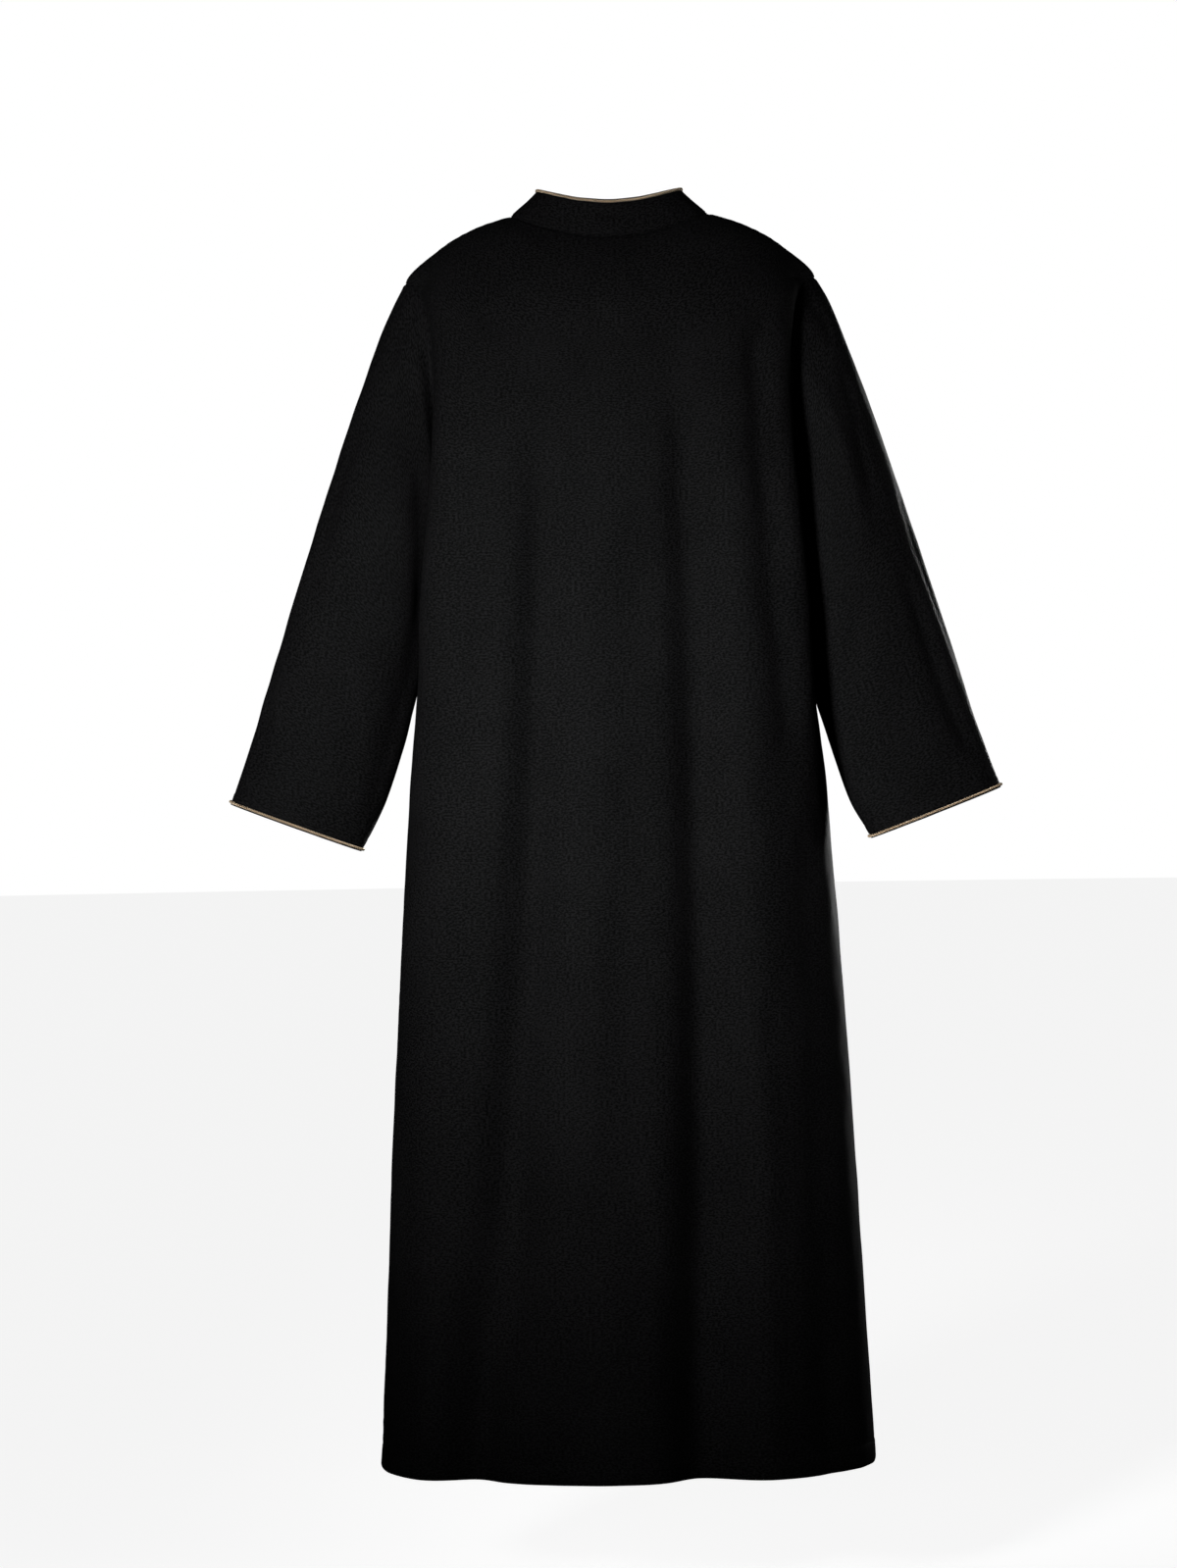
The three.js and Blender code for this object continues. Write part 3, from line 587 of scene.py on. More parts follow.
# %% Faces of a shell and their place on the flat cloth
def shell_faces(present, columns, closed):
    """The outer skin, the inner one, and strips between them where a cell has no neighbour."""
    i, j = np.nonzero(present)
    a, b = i * columns + j, (i + 1) * columns + j
    c, d = (i + 1) * columns + (j + 1) % columns, i * columns + (j + 1) % columns
    behind = (len(present) + 1) * columns
    beside = np.pad(present, 1, mode="constant")
    if closed:
        beside[:, 0], beside[:, -1] = beside[:, -2], beside[:, 1]
    strips = []
    for down, right, p, q in ((1, 0, a, b), (2, 1, b, c), (1, 2, c, d), (0, 1, d, a)):
        bare = ~beside[i + down, j + right]
        strips.append(np.stack([p[bare], p[bare] + behind, q[bare] + behind, q[bare]], -1))
    return np.stack([a, b, c, d], -1), np.stack([a, d, c, b], -1) + behind, np.concatenate(strips)


def shell_uv(grid, present, strips, closed):
    """Where each corner of the faces lies across and down the flat cloth, in millimetres."""
    across, down = arc_lengths(grid, 1), arc_lengths(grid, 0)
    if closed:
        seam_step = np.linalg.norm(grid[:, 0] - grid[:, -1], axis=-1)[:, None]
        across = np.concatenate([across, across[:, -1:] + seam_step], 1)
    middle = 0 if closed else across.shape[1] // 2
    across = across - across[:, middle : middle + 1]
    flat = np.stack([across, np.repeat(down.mean(1, keepdims=True), across.shape[1], 1)], -1)
    i, j = np.nonzero(present)
    outer = np.stack([flat[i, j], flat[i + 1, j], flat[i + 1, j + 1], flat[i, j + 1]], 1)
    by_point = np.concatenate([flat[:, : grid.shape[1]].reshape(-1, 2)] * 2)
    return np.concatenate([outer, outer[:, [0, 3, 2, 1]], by_point[strips]]).reshape(-1, 2)


print("faces are kept in the order: outer skin, inner skin, edge strips")

# %% Turn a grid into a shell of cloth
def link_object(name, data):
    made = bpy.data.objects.new(name, data)
    bpy.context.collection.objects.link(made)
    return made


def cloth_shell(name, grid, thickness, closed=False, present=None):
    """A mesh object with cloth of this thickness behind the grid, open where present is False."""
    rows, columns = grid.shape[:2]
    if present is None:
        present = np.ones((rows - 1, columns if closed else columns - 1), bool)
    outer, inner, strips = shell_faces(present, columns, closed)
    uv = shell_uv(grid, present, strips, closed) * MM
    skins = [grid, grid - grid_normals(grid, closed) * thickness]
    points = np.concatenate(skins).reshape(-1, 3) * MM
    used, place = np.unique(np.concatenate([outer, inner, strips]), return_inverse=True)
    mesh = bpy.data.meshes.new(name)
    mesh.from_pydata(points[used].tolist(), [], place.reshape(-1, 4).tolist())
    mesh.uv_layers.new(name="thread").data.foreach_set("uv", uv.ravel())
    mesh.polygons.foreach_set("use_smooth", np.ones(len(mesh.polygons), bool))
    # the cloth's own edges stay crisp while its faces are smooth
    mesh.set_sharp_from_angle(angle=math.radians(50))
    mesh.update()
    print(name, "has", len(mesh.polygons), "faces")
    return link_object(name, mesh)


# %% The cloth pieces
CLOTH_THICKNESS, COLLAR_THICKNESS, PLACKET_THICKNESS = 0.8, 1.7, 1.8
PLACKET_BELOW = 68  # how far the placket goes on below the slit
front_present = np.ones((front_grid.shape[0] - 1, front_grid.shape[1] - 1), bool)
slit_rows = int(np.argmax(front_grid[:, slit_column, 2] < SLIT_BOTTOM))
front_present[:slit_rows, slit_column] = False


def layer_on_front(offset):
    """The strip of the front between the placket's edges, lifted by offset along its normal."""
    bottom = int(np.argmax(front_grid[:, slit_column, 2] < SLIT_BOTTOM - PLACKET_BELOW))
    strip = front_grid[: bottom + 1, placket_columns]
    return strip + grid_normals(strip) * offset


over_strip = layer_on_front(WALL + SEAM_GAP)
under_strip = layer_on_front(-(WALL + SEAM_GAP))
cloth = {
    "back": cloth_shell("back_panel", back_grid, CLOTH_THICKNESS),
    "front": cloth_shell("front_panel", front_grid, CLOTH_THICKNESS, present=front_present),
}
for side, grid in sleeves.items():
    cloth["sleeve_" + side] = cloth_shell(side + "_sleeve", grid, CLOTH_THICKNESS, closed=True)
cloth["collar"] = cloth_shell("stand_collar", collar, COLLAR_THICKNESS)
for layer, strip in (("over", over_strip), ("under", under_strip)):
    cloth["placket_" + layer] = cloth_shell(layer + "_placket", strip, PLACKET_THICKNESS)

# %% [markdown]
# Shader maths reads best as an expression. The class below wraps one socket of a node, and adding,
# subtracting or multiplying two of them adds the Math node for it. Other nodes come from one method of the
# material builder.

# %% Add a node with its settings and inputs
def add_node(tree, kind, settings=None, inputs=None):
    """Settings are set first. Each input is a value or another node's output."""
    made = tree.nodes.new(kind)
    for key, setting in (settings or {}).items():
        setattr(made, key, setting)
    items = inputs.items() if isinstance(inputs, dict) else enumerate(inputs or [])
    for key, value in items:
        socket, value = made.inputs[key], getattr(value, "socket", value)
        if isinstance(value, bpy.types.NodeSocket):
            tree.links.new(value, socket)
        elif socket.type == "RGBA" and len(value) == 3:
            socket.default_value = (*value, 1)
        else:
            socket.default_value = value
    return made.outputs


print("inputs are given by name or in order")

# %% A small class for shader maths
class Value:
    """One output socket, with arithmetic that adds Math nodes."""

    def __init__(self, maker, socket):
        self.maker, self.socket = maker, socket

    def math(self, operation, *others):
        return self.maker.node("ShaderNodeMath", {"operation": operation}, [self, *others])

    def __add__(self, other):
        return self.math("ADD", other)

    def __sub__(self, other):
        return self.math("SUBTRACT", other)

    def __mul__(self, other):
        return self.math("MULTIPLY", other)

    def __rsub__(self, other):
        return self.maker.node("ShaderNodeMath", {"operation": "SUBTRACT"}, [other, self])

    __radd__ = __add__
    __rmul__ = __mul__

    def sin(self):
        return self.math("SINE")

    def smooth(self, low, high):
        """0 below low and 1 above high, with a soft step between them."""
        inputs = {"Value": self, "From Min": low, "From Max": high}
        return self.maker.node("ShaderNodeMapRange", {"interpolation_type": "SMOOTHSTEP"}, inputs)


class Finish:
    """Builds one material: node() adds a node from its type, its settings and its inputs."""

    def __init__(self, name):
        self.material = bpy.data.materials.new(name)
        self.material.use_nodes = True
        self.tree = self.material.node_tree
        self.tree.nodes.clear()
        self.output = self.tree.nodes.new("ShaderNodeOutputMaterial")
        self.spot = self.node("ShaderNodeTexCoord", None, None, "Object")

    def node(self, kind, settings=None, inputs=None, output=0):
        return Value(self, add_node(self.tree, kind, settings, inputs)[output])

    def mix(self, factor, first, second):
        """A colour between two others."""
        return self.node("ShaderNodeMix", {"data_type": "RGBA"}, {0: factor, 6: first, 7: second}, 2)

    def noise(self, scale, detail, roughness=0.5, place=None):
        """Noise from 0 to 1 over the object, or over another place."""
        inputs = {"Vector": place or self.spot, "Scale": scale, "Detail": detail, "Roughness": roughness}
        return self.node("ShaderNodeTexNoise", None, inputs)

    def bump(self, height, strength, depth, **below):
        """Relief of this depth in metres, on top of another relief where Normal gives one."""
        inputs = {"Height": height, "Strength": strength, "Distance": depth, **below}
        return self.node("ShaderNodeBump", None, inputs)

    def surface(self, **inputs):
        """The Principled shader, linked to the output. Underscores in the names stand for spaces."""
        inputs = {key.replace("_", " "): value for key, value in inputs.items()}
        shader = self.node("ShaderNodeBsdfPrincipled", None, inputs)
        self.tree.links.new(shader.socket, self.output.inputs["Surface"])
        return self.material


print("shader maths ready")

# %% [markdown]
# Black twill is never one flat black. Its threads run in fine slanting ribs, the yarn varies in thickness,
# and fine lint and wear make patches a little greyer. A soft sheen lights the nap where the cloth turns
# away. The weave reads the UV map, which is in metres along the threads, so its ribs are as fine as real
# ones.

# %% The black twill
RIB_PITCH, WARP_PITCH, WEFT_PITCH = 0.0011, 0.00055, 0.0007  # metres from one line to the next


def twill():
    """Black cloth, with its ribs, yarn, slubs, patches, lint and creases."""
    finish = Finish("black_twill")
    place = finish.node("ShaderNodeUVMap", {"uv_map": "thread"})
    u, v = (finish.node("ShaderNodeSeparateXYZ", None, [place], axis) for axis in "XY")
    rib = ((u + v) * (2 * math.pi / RIB_PITCH)).sin()
    yarn = (u * (2 * math.pi / WARP_PITCH)).sin() * (v * (2 * math.pi / WEFT_PITCH)).sin() * 0.5
    slub = finish.noise(560, 3, place=finish.node("ShaderNodeCombineXYZ", None, [u * 0.55, v]))
    patch = finish.noise(9, 4, 0.6)
    lint = finish.node("ShaderNodeTexVoronoi", {"feature": "F1"}, {"Vector": finish.spot, "Scale": 170})
    fleck = (1 - lint.smooth(0.04, 0.1)) * finish.noise(38, 1).smooth(0.62, 0.7)
    wear = patch.smooth(0.35, 0.7) * 0.16 + rib * 0.14 + slub.smooth(0.38, 0.62) * 0.75
    base = finish.mix(wear, (0.0012, 0.0012, 0.0013), (0.0118, 0.0118, 0.0123))
    weave = finish.bump(rib * 0.6 + yarn, 0.22, 0.00012)
    return finish.surface(
        Base_Color=finish.mix(fleck * 0.3, base, (0.02, 0.02, 0.0206)),
        Roughness=0.66 + patch * 0.1 + slub * 0.08,
        Normal=finish.bump(finish.noise(46, 5, 0.55), 0.5, 0.0011, Normal=weave),
        Specular_IOR_Level=0.03,
        Sheen_Weight=0.002,
        Sheen_Roughness=0.4,
        Sheen_Tint=(0.9, 0.92, 1.0),
    )


black_twill = twill()
for piece in cloth.values():
    piece.data.materials.append(black_twill)
print("twill nodes:", len(black_twill.node_tree.nodes))

# %% [markdown]
# The gold cord is two plies of metallic yarn twisted round each other. Each ply is itself a bundle of fine
# filaments, drawn here as slanting lines along the ply. The tops of the plies are a pale cream gold, and
# the groove between them is painted copper brown: painted shade in the groove, where the plies keep the
# light out. The thread is a dull black polyester, and the buttons are polished.

# %% Gold cord, thread and button finishes
FILAMENTS, FILAMENT_LAY = 9, 0.0016  # lines round a ply, and metres along it from one to the next


def gold_yarn():
    finish = Finish("gold_yarn")
    along, around, groove = (
        finish.node("ShaderNodeAttribute", {"attribute_name": name}, None, "Fac")
        for name in ("along", "around", "groove")
    )
    filaments = (around * (2 * math.pi * FILAMENTS) + along * (2 * math.pi / FILAMENT_LAY)).sin()
    glint = finish.noise(1700, 2)
    pale = finish.mix(finish.noise(90, 2), (0.80, 0.66, 0.48), (0.62, 0.45, 0.27))
    bright = finish.mix(glint.smooth(0.55, 0.75) * 0.6, pale, (0.86, 0.76, 0.58))
    return finish.surface(
        # the groove between the plies is painted copper brown, as painted shade
        Base_Color=finish.mix(groove.smooth(0.25, 0.8) * 0.85, bright, (0.26, 0.09, 0.028)),
        Metallic=0.08 + glint * 0.25,
        Roughness=0.42 - glint * 0.12,
        Normal=finish.bump(filaments, 0.6, 0.00015),
        Specular_IOR_Level=0.5,
    )


def black_thread():
    finish = Finish("black_thread")
    fibre = finish.noise(2600, 2)
    return finish.surface(
        Base_Color=finish.mix(fibre, (0.0004, 0.0004, 0.0005), (0.0014, 0.0014, 0.0015)),
        Roughness=0.55 + fibre * 0.15,
        Normal=finish.bump(fibre, 0.4, 0.0001),
        Specular_IOR_Level=0.06,
    )


def button_resin():
    finish = Finish("button_resin")
    return finish.surface(
        Base_Color=finish.mix(finish.noise(260, 3), (0.006, 0.006, 0.007), (0.018, 0.017, 0.017)),
        Roughness=0.16 + finish.noise(1900, 2) * 0.16,
        Specular_IOR_Level=0.5,
    )


gold, thread, resin = gold_yarn(), black_thread(), button_resin()
print("finishes:", [m.name for m in (black_twill, gold, thread, resin)])

# %% [markdown]
# Stitches repeat along a seam, so Geometry Nodes make them: points along a curve at the stitch length, a
# small spindle of thread on each, then Realize Instances and Set Material. The spindle lies along the seam,
# or across it for a buttonhole. A fixed seed makes the stitches slightly uneven, as a machine's are.

# %% A small class for node trees that make shapes
SOCKETS = {float: "Float", int: "Int", tuple: "Vector", type(None): "Material"}


class Pattern:
    """A Geometry Nodes tree with named inputs. add() makes a node and returns its outputs."""

    def __init__(self, name, sizes):
        self.tree = bpy.data.node_groups.new(name, "GeometryNodeTree")
        sockets = self.tree.interface
        sockets.new_socket("Geometry", in_out="INPUT", socket_type="NodeSocketGeometry")
        for label, value in sizes.items():
            kind = "NodeSocket" + SOCKETS[type(value)]
            socket = sockets.new_socket(label, in_out="INPUT", socket_type=kind)
            if value is not None:
                socket.default_value = value
        sockets.new_socket("Geometry", in_out="OUTPUT", socket_type="NodeSocketGeometry")
        self.given = self.tree.nodes.new("NodeGroupInput").outputs

    def add(self, kind, settings=None, inputs=None):
        return add_node(self.tree, kind, settings, inputs)

    def math(self, operation, *values):
        return self.add("ShaderNodeMath", {"operation": operation}, values)[0]

    def capture(self, geometry, values):
        """Keeps named numbers on the points of a shape, and returns the shape and the numbers."""
        kept = self.add("GeometryNodeCaptureAttribute", {"domain": "POINT"}, {"Geometry": geometry})
        node = kept[0].node
        for label, value in values.items():
            node.capture_items.new("FLOAT", label)
            self.tree.links.new(value, node.inputs[label])
        return node.outputs

    def sweep(self, path, profile):
        inputs = {"Curve": path, "Profile Curve": profile, "Fill Caps": True}
        return self.add("GeometryNodeCurveToMesh", None, inputs)[0]

    def end(self, geometry, material):
        """Smooths the shape, makes its instances real and gives it its material."""
        smooth = self.add("GeometryNodeSetShadeSmooth", None, {"Geometry": geometry})
        real = self.add("GeometryNodeRealizeInstances", None, [smooth[0]])
        dressed = self.add("GeometryNodeSetMaterial", None, {"Geometry": real[0], "Material": material})
        self.tree.links.new(dressed[0], self.tree.nodes.new("NodeGroupOutput").inputs[0])
        return self.tree


print("a tree's inputs can be:", sorted(SOCKETS.values()))

# %% A node tree for rows of stitches
STITCH = {"Pitch": 0.0024, "Length": 0.0019, "Thickness": 0.0005}
# Across is 0 for stitches along their seam and 1 for stitches across it, on cloth that faces Face
STITCH_WAY = {"Across": 0.0, "Face": (0.0, 0.0, 1.0), "Unevenness": 0.12, "Seed": 1, "Thread": None}


def stitch_tree():
    tree = Pattern("stitches", {**STITCH, **STITCH_WAY})
    given = tree.given
    along = {"Curve": given["Geometry"], "Length": given["Pitch"]}
    points = tree.add("GeometryNodeCurveToPoints", {"mode": "LENGTH"}, along)
    sideways = [points["Tangent"], given["Face"]]
    across = tree.add("ShaderNodeVectorMath", {"operation": "CROSS_PRODUCT"}, sideways)
    ways = {0: given["Across"], 4: points["Tangent"], 5: across[0]}
    way = tree.add("ShaderNodeMix", {"data_type": "VECTOR"}, ways)
    turn = tree.add("FunctionNodeAlignRotationToVector", {"axis": "Z"}, {"Vector": way[1]})
    ball = tree.add("GeometryNodeMeshUVSphere", None, {"Segments": 6, "Rings": 4, "Radius": 0.5})
    sizes = [given["Thickness"], given["Thickness"], given["Length"]]
    size = tree.add("ShaderNodeCombineXYZ", None, sizes)
    spindle = tree.add("GeometryNodeTransform", None, {"Geometry": ball[0], "Scale": size[0]})
    chance = tree.add("FunctionNodeRandomValue", {"data_type": "FLOAT"}, {"Seed": given["Seed"]})
    scale = tree.math("MULTIPLY_ADD", chance[1], given["Unevenness"], 0.94)
    inputs = {"Points": points["Points"], "Instance": spindle[0], "Rotation": turn[0], "Scale": scale}
    placed = tree.add("GeometryNodeInstanceOnPoints", None, inputs)
    return tree.end(placed[0], given["Thread"])


stitches = stitch_tree()
print("stitch tree inputs:", [s.name for s in stitches.interface.items_tree if s.in_out == "INPUT"])

# %% Turn lines into stitches and plain meshes
def line_object(name, lines, cyclic=False):
    """A curve object with one poly spline for each line of points, which are in millimetres."""
    data = bpy.data.curves.new(name, "CURVE")
    data.dimensions = "3D"
    for line in lines:
        spline = data.splines.new("POLY")
        spline.points.add(len(line) - 1)
        flat = np.concatenate([np.asarray(line) * MM, np.ones((len(line), 1))], 1)
        spline.points.foreach_set("co", flat.ravel())
        spline.use_cyclic_u = cyclic
    return link_object(name, data)


def run_tree(name, lines, tree, values, material, cyclic=False):
    """Runs a node tree along the lines and returns the result as a plain mesh object."""
    source = line_object(name + "_line", lines, cyclic)
    modifier = source.modifiers.new("nodes", "NODES")
    modifier.node_group = tree
    for item in tree.interface.items_tree:
        if item.in_out == "INPUT" and item.name in values:
            modifier[item.identifier] = values[item.name]
    source.update_tag()
    evaluated = source.evaluated_get(bpy.context.evaluated_depsgraph_get())
    mesh = bpy.data.meshes.new_from_object(evaluated)
    mesh.name = name
    source.modifiers.remove(modifier)
    bpy.data.objects.remove(source)
    mesh.materials.clear()
    mesh.materials.append(material)
    return link_object(name, mesh)


def sew(name, lines, cyclic=False, seed=1, **values):
    made = run_tree(name, lines, stitches, {"Seed": seed, "Thread": thread, **values}, thread, cyclic)
    print(name, "has", len(made.data.polygons) // 24, "stitches")
    return made


def line_on(grid, distance_grid, distance, closed=False):
    """The line on a grid's surface where distance_grid has this value in each column."""
    raised = grid + grid_normals(grid, closed) * THREAD_LIFT
    line = []
    for j in range(grid.shape[1]):
        order = np.argsort(distance_grid[:, j])
        line.append([np.interp(distance, distance_grid[order, j], raised[order, j, k]) for k in range(3)])
    return np.array(line)


# %% [markdown]
# The hem is turned up and stitched about 24 mm above its edge, and each cuff about 15 mm above its own. The
# collar is topstitched just above its seam and below its edge. The plackets are edge-stitched, with a
# crossed box at the bottom that keeps the slit from tearing.

# %% Rows of stitching
THREAD_LIFT = 0.12  # how far a stitch's middle lies off the cloth
hem_lines = [
    line_on(grid, form[..., 2] - HEM, HEM_ROW)[1:-1]
    for grid, form in ((back_grid, back_form), (front_grid, front_form))
]
hem_stitches = sew("hem_stitches", hem_lines, seed=3)

cuff_stitches = {}
for side, grid in sleeves.items():
    down = arc_lengths(sleeve_shapes[side], 0)
    line = line_on(grid, down[-1:] - down, CUFF_ROW, closed=True)
    cuff_stitches[side] = sew("cuff_stitches_" + side, [line], cyclic=True, seed=5)

below_edge = arc_lengths(collar, 0)
above_seam = below_edge[-1:] - below_edge
collar_lines = [line_on(collar, above_seam, COLLAR_ROW)[2:-2], line_on(collar, below_edge, EDGE_ROW)[2:-2]]
collar_stitches = sew("collar_stitches", collar_lines, seed=7)

# %% Stitches on the placket
PLACKET_ROW = 0.82  # the share of the placket's half width at which its rows lie
ROWS_TOP = -76  # the height at which the rows start, below the collar
BOX_HEIGHT, BOX_INSET = 34, 2.5
placket_surface = over_strip + grid_normals(over_strip) * THREAD_LIFT


def placket_line(u, height_top, height_end):
    """A line down the over placket at u from -1, its left edge, to 1."""
    at = (u + 1) / 2 * (placket_surface.shape[1] - 1)
    low = int(min(math.floor(at), placket_surface.shape[1] - 2))
    line = placket_surface[:, low] + (placket_surface[:, low + 1] - placket_surface[:, low]) * (at - low)
    return line[(line[:, 2] < height_top) & (line[:, 2] > height_end)]


bottom = float(over_strip[-1, 5, 2])
placket_lines = [placket_line(u, ROWS_TOP, bottom + BOX_INSET) for u in (-PLACKET_ROW, PLACKET_ROW)]
ends = []
for height in (bottom + BOX_INSET, bottom + BOX_HEIGHT):
    row = int(np.argmin(np.abs(over_strip[:, 4, 2] - height)))
    ends.append(placket_surface[row][1:-1])
for first, second in ((ends[0][0], ends[1][-1]), (ends[0][-1], ends[1][0])):
    ends.append(first + (second - first) * np.linspace(0, 1, 12)[:, None])
placket_stitches = sew("placket_stitches", placket_lines + ends, seed=9)

# %% [markdown]
# The cord tree sweeps two circles along the edge of the cloth and turns them with the curve's tilt, which
# makes a two-ply twist. It stores how far each point lies along the cord, round its ply and down in the
# groove, and the gold finish reads those three numbers.

# %% A node tree for twisted cord
CORD = {"Ply Radius": 0.00088, "Lay": 0.0062, "Step": 0.00045, "Yarn": None}


def two_plies(tree, radius):
    """Two circles side by side, each point with its way round the ply and its depth in the groove."""
    sizes = {"Resolution": 9, "Radius": radius}
    ply = tree.add("GeometryNodeCurvePrimitiveCircle", {"mode": "RADIUS"}, sizes)
    plies = tree.add("GeometryNodeJoinGeometry")
    for way in (1, -1):
        move = tree.add("ShaderNodeCombineXYZ", None, {"X": tree.math("MULTIPLY", radius, 0.9 * way)})
        moved = tree.add("GeometryNodeTransform", None, {"Geometry": ply[0], "Translation": move[0]})
        tree.tree.links.new(moved[0], plies[0].node.inputs[0])
    place = tree.add("GeometryNodeInputPosition")
    out = tree.add("ShaderNodeVectorMath", {"operation": "LENGTH"}, [place[0]])
    limits = {"Value": tree.math("DIVIDE", out[1], radius), "From Min": 1.9, "From Max": 0.2}
    near = tree.add("ShaderNodeMapRange", None, limits)
    around = tree.add("GeometryNodeSplineParameter")
    # groove is the depth between the plies, where the gold finish paints shade
    return tree.capture(plies[0], {"groove": near[0], "around": around["Factor"]})


def cord_tree():
    tree = Pattern("twisted_cord", CORD)
    given = tree.given
    steps = {"Curve": given["Geometry"], "Length": given["Step"]}
    path = tree.add("GeometryNodeResampleCurve", {"mode": "LENGTH"}, steps)
    reach = tree.add("GeometryNodeSplineParameter")["Length"]
    tilt = tree.math("MULTIPLY", tree.math("DIVIDE", reach, given["Lay"]), 2 * math.pi)
    tilted = tree.add("GeometryNodeSetCurveTilt", None, {"Curve": path[0], "Tilt": tilt})
    along = tree.capture(tilted[0], {"along": reach})
    profile = two_plies(tree, given["Ply Radius"])
    result = tree.sweep(along[0], profile[0])
    for label, source in (("along", along), ("groove", profile), ("around", profile)):
        settings = {"data_type": "FLOAT", "domain": "POINT"}
        inputs = {"Geometry": result, "Name": label, "Value": source[label]}
        result = tree.add("GeometryNodeStoreNamedAttribute", settings, inputs)[0]
    return tree.end(result, given["Yarn"])


twisted_cord = cord_tree()
print("cord tree nodes:", len(twisted_cord.nodes))

# %% The cords on the collar and the cuffs
CORD_OUT = 1.2  # how far the cord's middle lies off the cloth it is sewn to


def unit(vectors):
    """The same directions, each one long."""
    return vectors / np.linalg.norm(vectors, axis=1, keepdims=True)


def cord_path(edge, inside, normals, inset):
    """The line of a cord's middle along an edge of cloth, this far in from it."""
    up = unit(edge - inside)
    out = unit(normals - up * (normals * up).sum(1, keepdims=True))
    return edge - up * np.reshape(inset, (-1, 1)) + out * CORD_OUT


def make_cord(name, path):
    made = run_tree(name, [path], twisted_cord, {"Yarn": gold}, gold)
    print(name, "has", len(made.data.polygons), "faces")
    return made


collar_normals = grid_normals(collar)
collar_inset = 2.2 + 1.0 * ease((80 - collar[0, :, 0]) / 110)
edge_path = cord_path(collar[0], collar[4], collar_normals[4], collar_inset)
edge_path = edge_path[1 : len(edge_path) - len(placket_columns)]
cords = {"collar_piping": make_cord("collar_cord", edge_path)}
for side, grid in sleeves.items():
    normals = grid_normals(grid, closed=True)
    loop = cord_path(grid[-1], grid[-9], normals[-6], CUFF_CORD_INSET)
    start = 3 if side == "left" else SLEEVE_COLUMNS - 5
    loop = np.roll(loop, -start, axis=0)
    cords["cuff_piping_" + side] = make_cord(side + "_cuff_cord", loop[: len(loop) - 1])

# %% [markdown]
# The buttons have a raised rim, a dished face and four holes with thread through them. One button is turned
# from a profile, its holes are cut with a Boolean, and the result is copied to the middle of each CAD
# button.

# %% Turn a button and drill it
BUTTON_PROFILE = [
    (0, -1.5),
    (4.4, -1.5),
    (5.35, -0.9),
    (5.7, -0.1),
    (5.6, 0.8),
    (5.1, 1.35),
    (4.5, 1.45),
    (3.9, 1.1),
    (3.3, 0.85),
    (0, 0.8),
]
HOLE_RADIUS, HOLE_REACH = 0.75, 1.35  # the reach is from the button's middle to a hole's
DRILL_PROFILE = [(0, -4), (HOLE_RADIUS, -4), (HOLE_RADIUS, 4), (0, 4)]
HOLE_TURNS = math.pi * np.array([0.25, 0.75, 1.25, 1.75])
HOLES = [(HOLE_REACH * math.cos(t), HOLE_REACH * math.sin(t)) for t in HOLE_TURNS]


def lathe(name, profile, sides):
    """A turned shape round Z from (radius, height) pairs, in millimetres."""
    shape = bmesh.new()
    turns = [2 * math.pi * k / sides for k in range(sides)]
    rings = []
    for radius, height in profile:
        points = [(radius * MM * math.cos(a), radius * MM * math.sin(a), height * MM) for a in turns]
        made = [shape.verts.new(point) for point in (points if radius else points[:1])]
        rings.append(made * (sides // len(made)))
    for lower, upper in zip(rings, rings[1:]):
        for k in range(sides):
            corners = [lower[k], lower[(k + 1) % sides], upper[(k + 1) % sides], upper[k]]
            shape.faces.new(list(dict.fromkeys(corners)))
    bmesh.ops.recalc_face_normals(shape, faces=shape.faces)
    mesh = bpy.data.meshes.new(name)
    shape.to_mesh(mesh)
    shape.free()
    return link_object(name, mesh)


def button_mesh():
    body = lathe("button_form", BUTTON_PROFILE, 48)
    drills = []
    for x, y in HOLES:
        drill = lathe("drill", DRILL_PROFILE, 12)
        drill.data.transform(Matrix.Translation((x * MM, y * MM, 0)))
        cut = body.modifiers.new("hole", "BOOLEAN")
        cut.operation, cut.object, cut.solver = "DIFFERENCE", drill, "EXACT"
        drills.append(drill)
    bpy.context.view_layer.update()
    mesh = bpy.data.meshes.new_from_object(body.evaluated_get(bpy.context.evaluated_depsgraph_get()))
    body.modifiers.clear()
    for item in [body, *drills]:
        bpy.data.objects.remove(item)
    mesh.polygons.foreach_set("use_smooth", np.ones(len(mesh.polygons), bool))
    mesh.set_sharp_from_angle(angle=math.radians(35))
    mesh.materials.clear()
    mesh.materials.append(resin)
    return mesh


master = button_mesh()
print("faces of a button:", len(master.polygons))

# %% Put a button in the place of each solid one
button_names = ["button_1", "button_2", "button_3", "button_4", "button_collar"]
placket_normals = grid_normals(over_strip)[:, 4:6].mean(1)
lap_normal = collar_normals[len(collar) // 2, : len(placket_columns)].mean(0)
middles, facings, buttons = {}, {}, {}
for name in button_names:
    low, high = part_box(name)
    middles[name] = (Vector(low) + Vector(high)) / 2
    height = middles[name].z / MM
    normal = [np.interp(-height, -over_strip[:, 4, 2], placket_normals[:, k]) for k in range(3)]
    if name == "button_collar":
        normal = lap_normal
    facings[name] = Vector((0, normal[1], normal[2])).normalized()
    turn = facings[name].to_track_quat("Z", "Y").to_matrix().to_4x4()
    buttons[name] = link_object("resin_" + name, master.copy())
    buttons[name].data.transform(Matrix.Translation(middles[name]) @ turn)
print("buttons:", len(buttons))

# %% Thread through the buttons and round the buttonholes
THREAD_TOP, THREAD_END, THREAD_SHIFT = 1.15, -1.6, 0.22


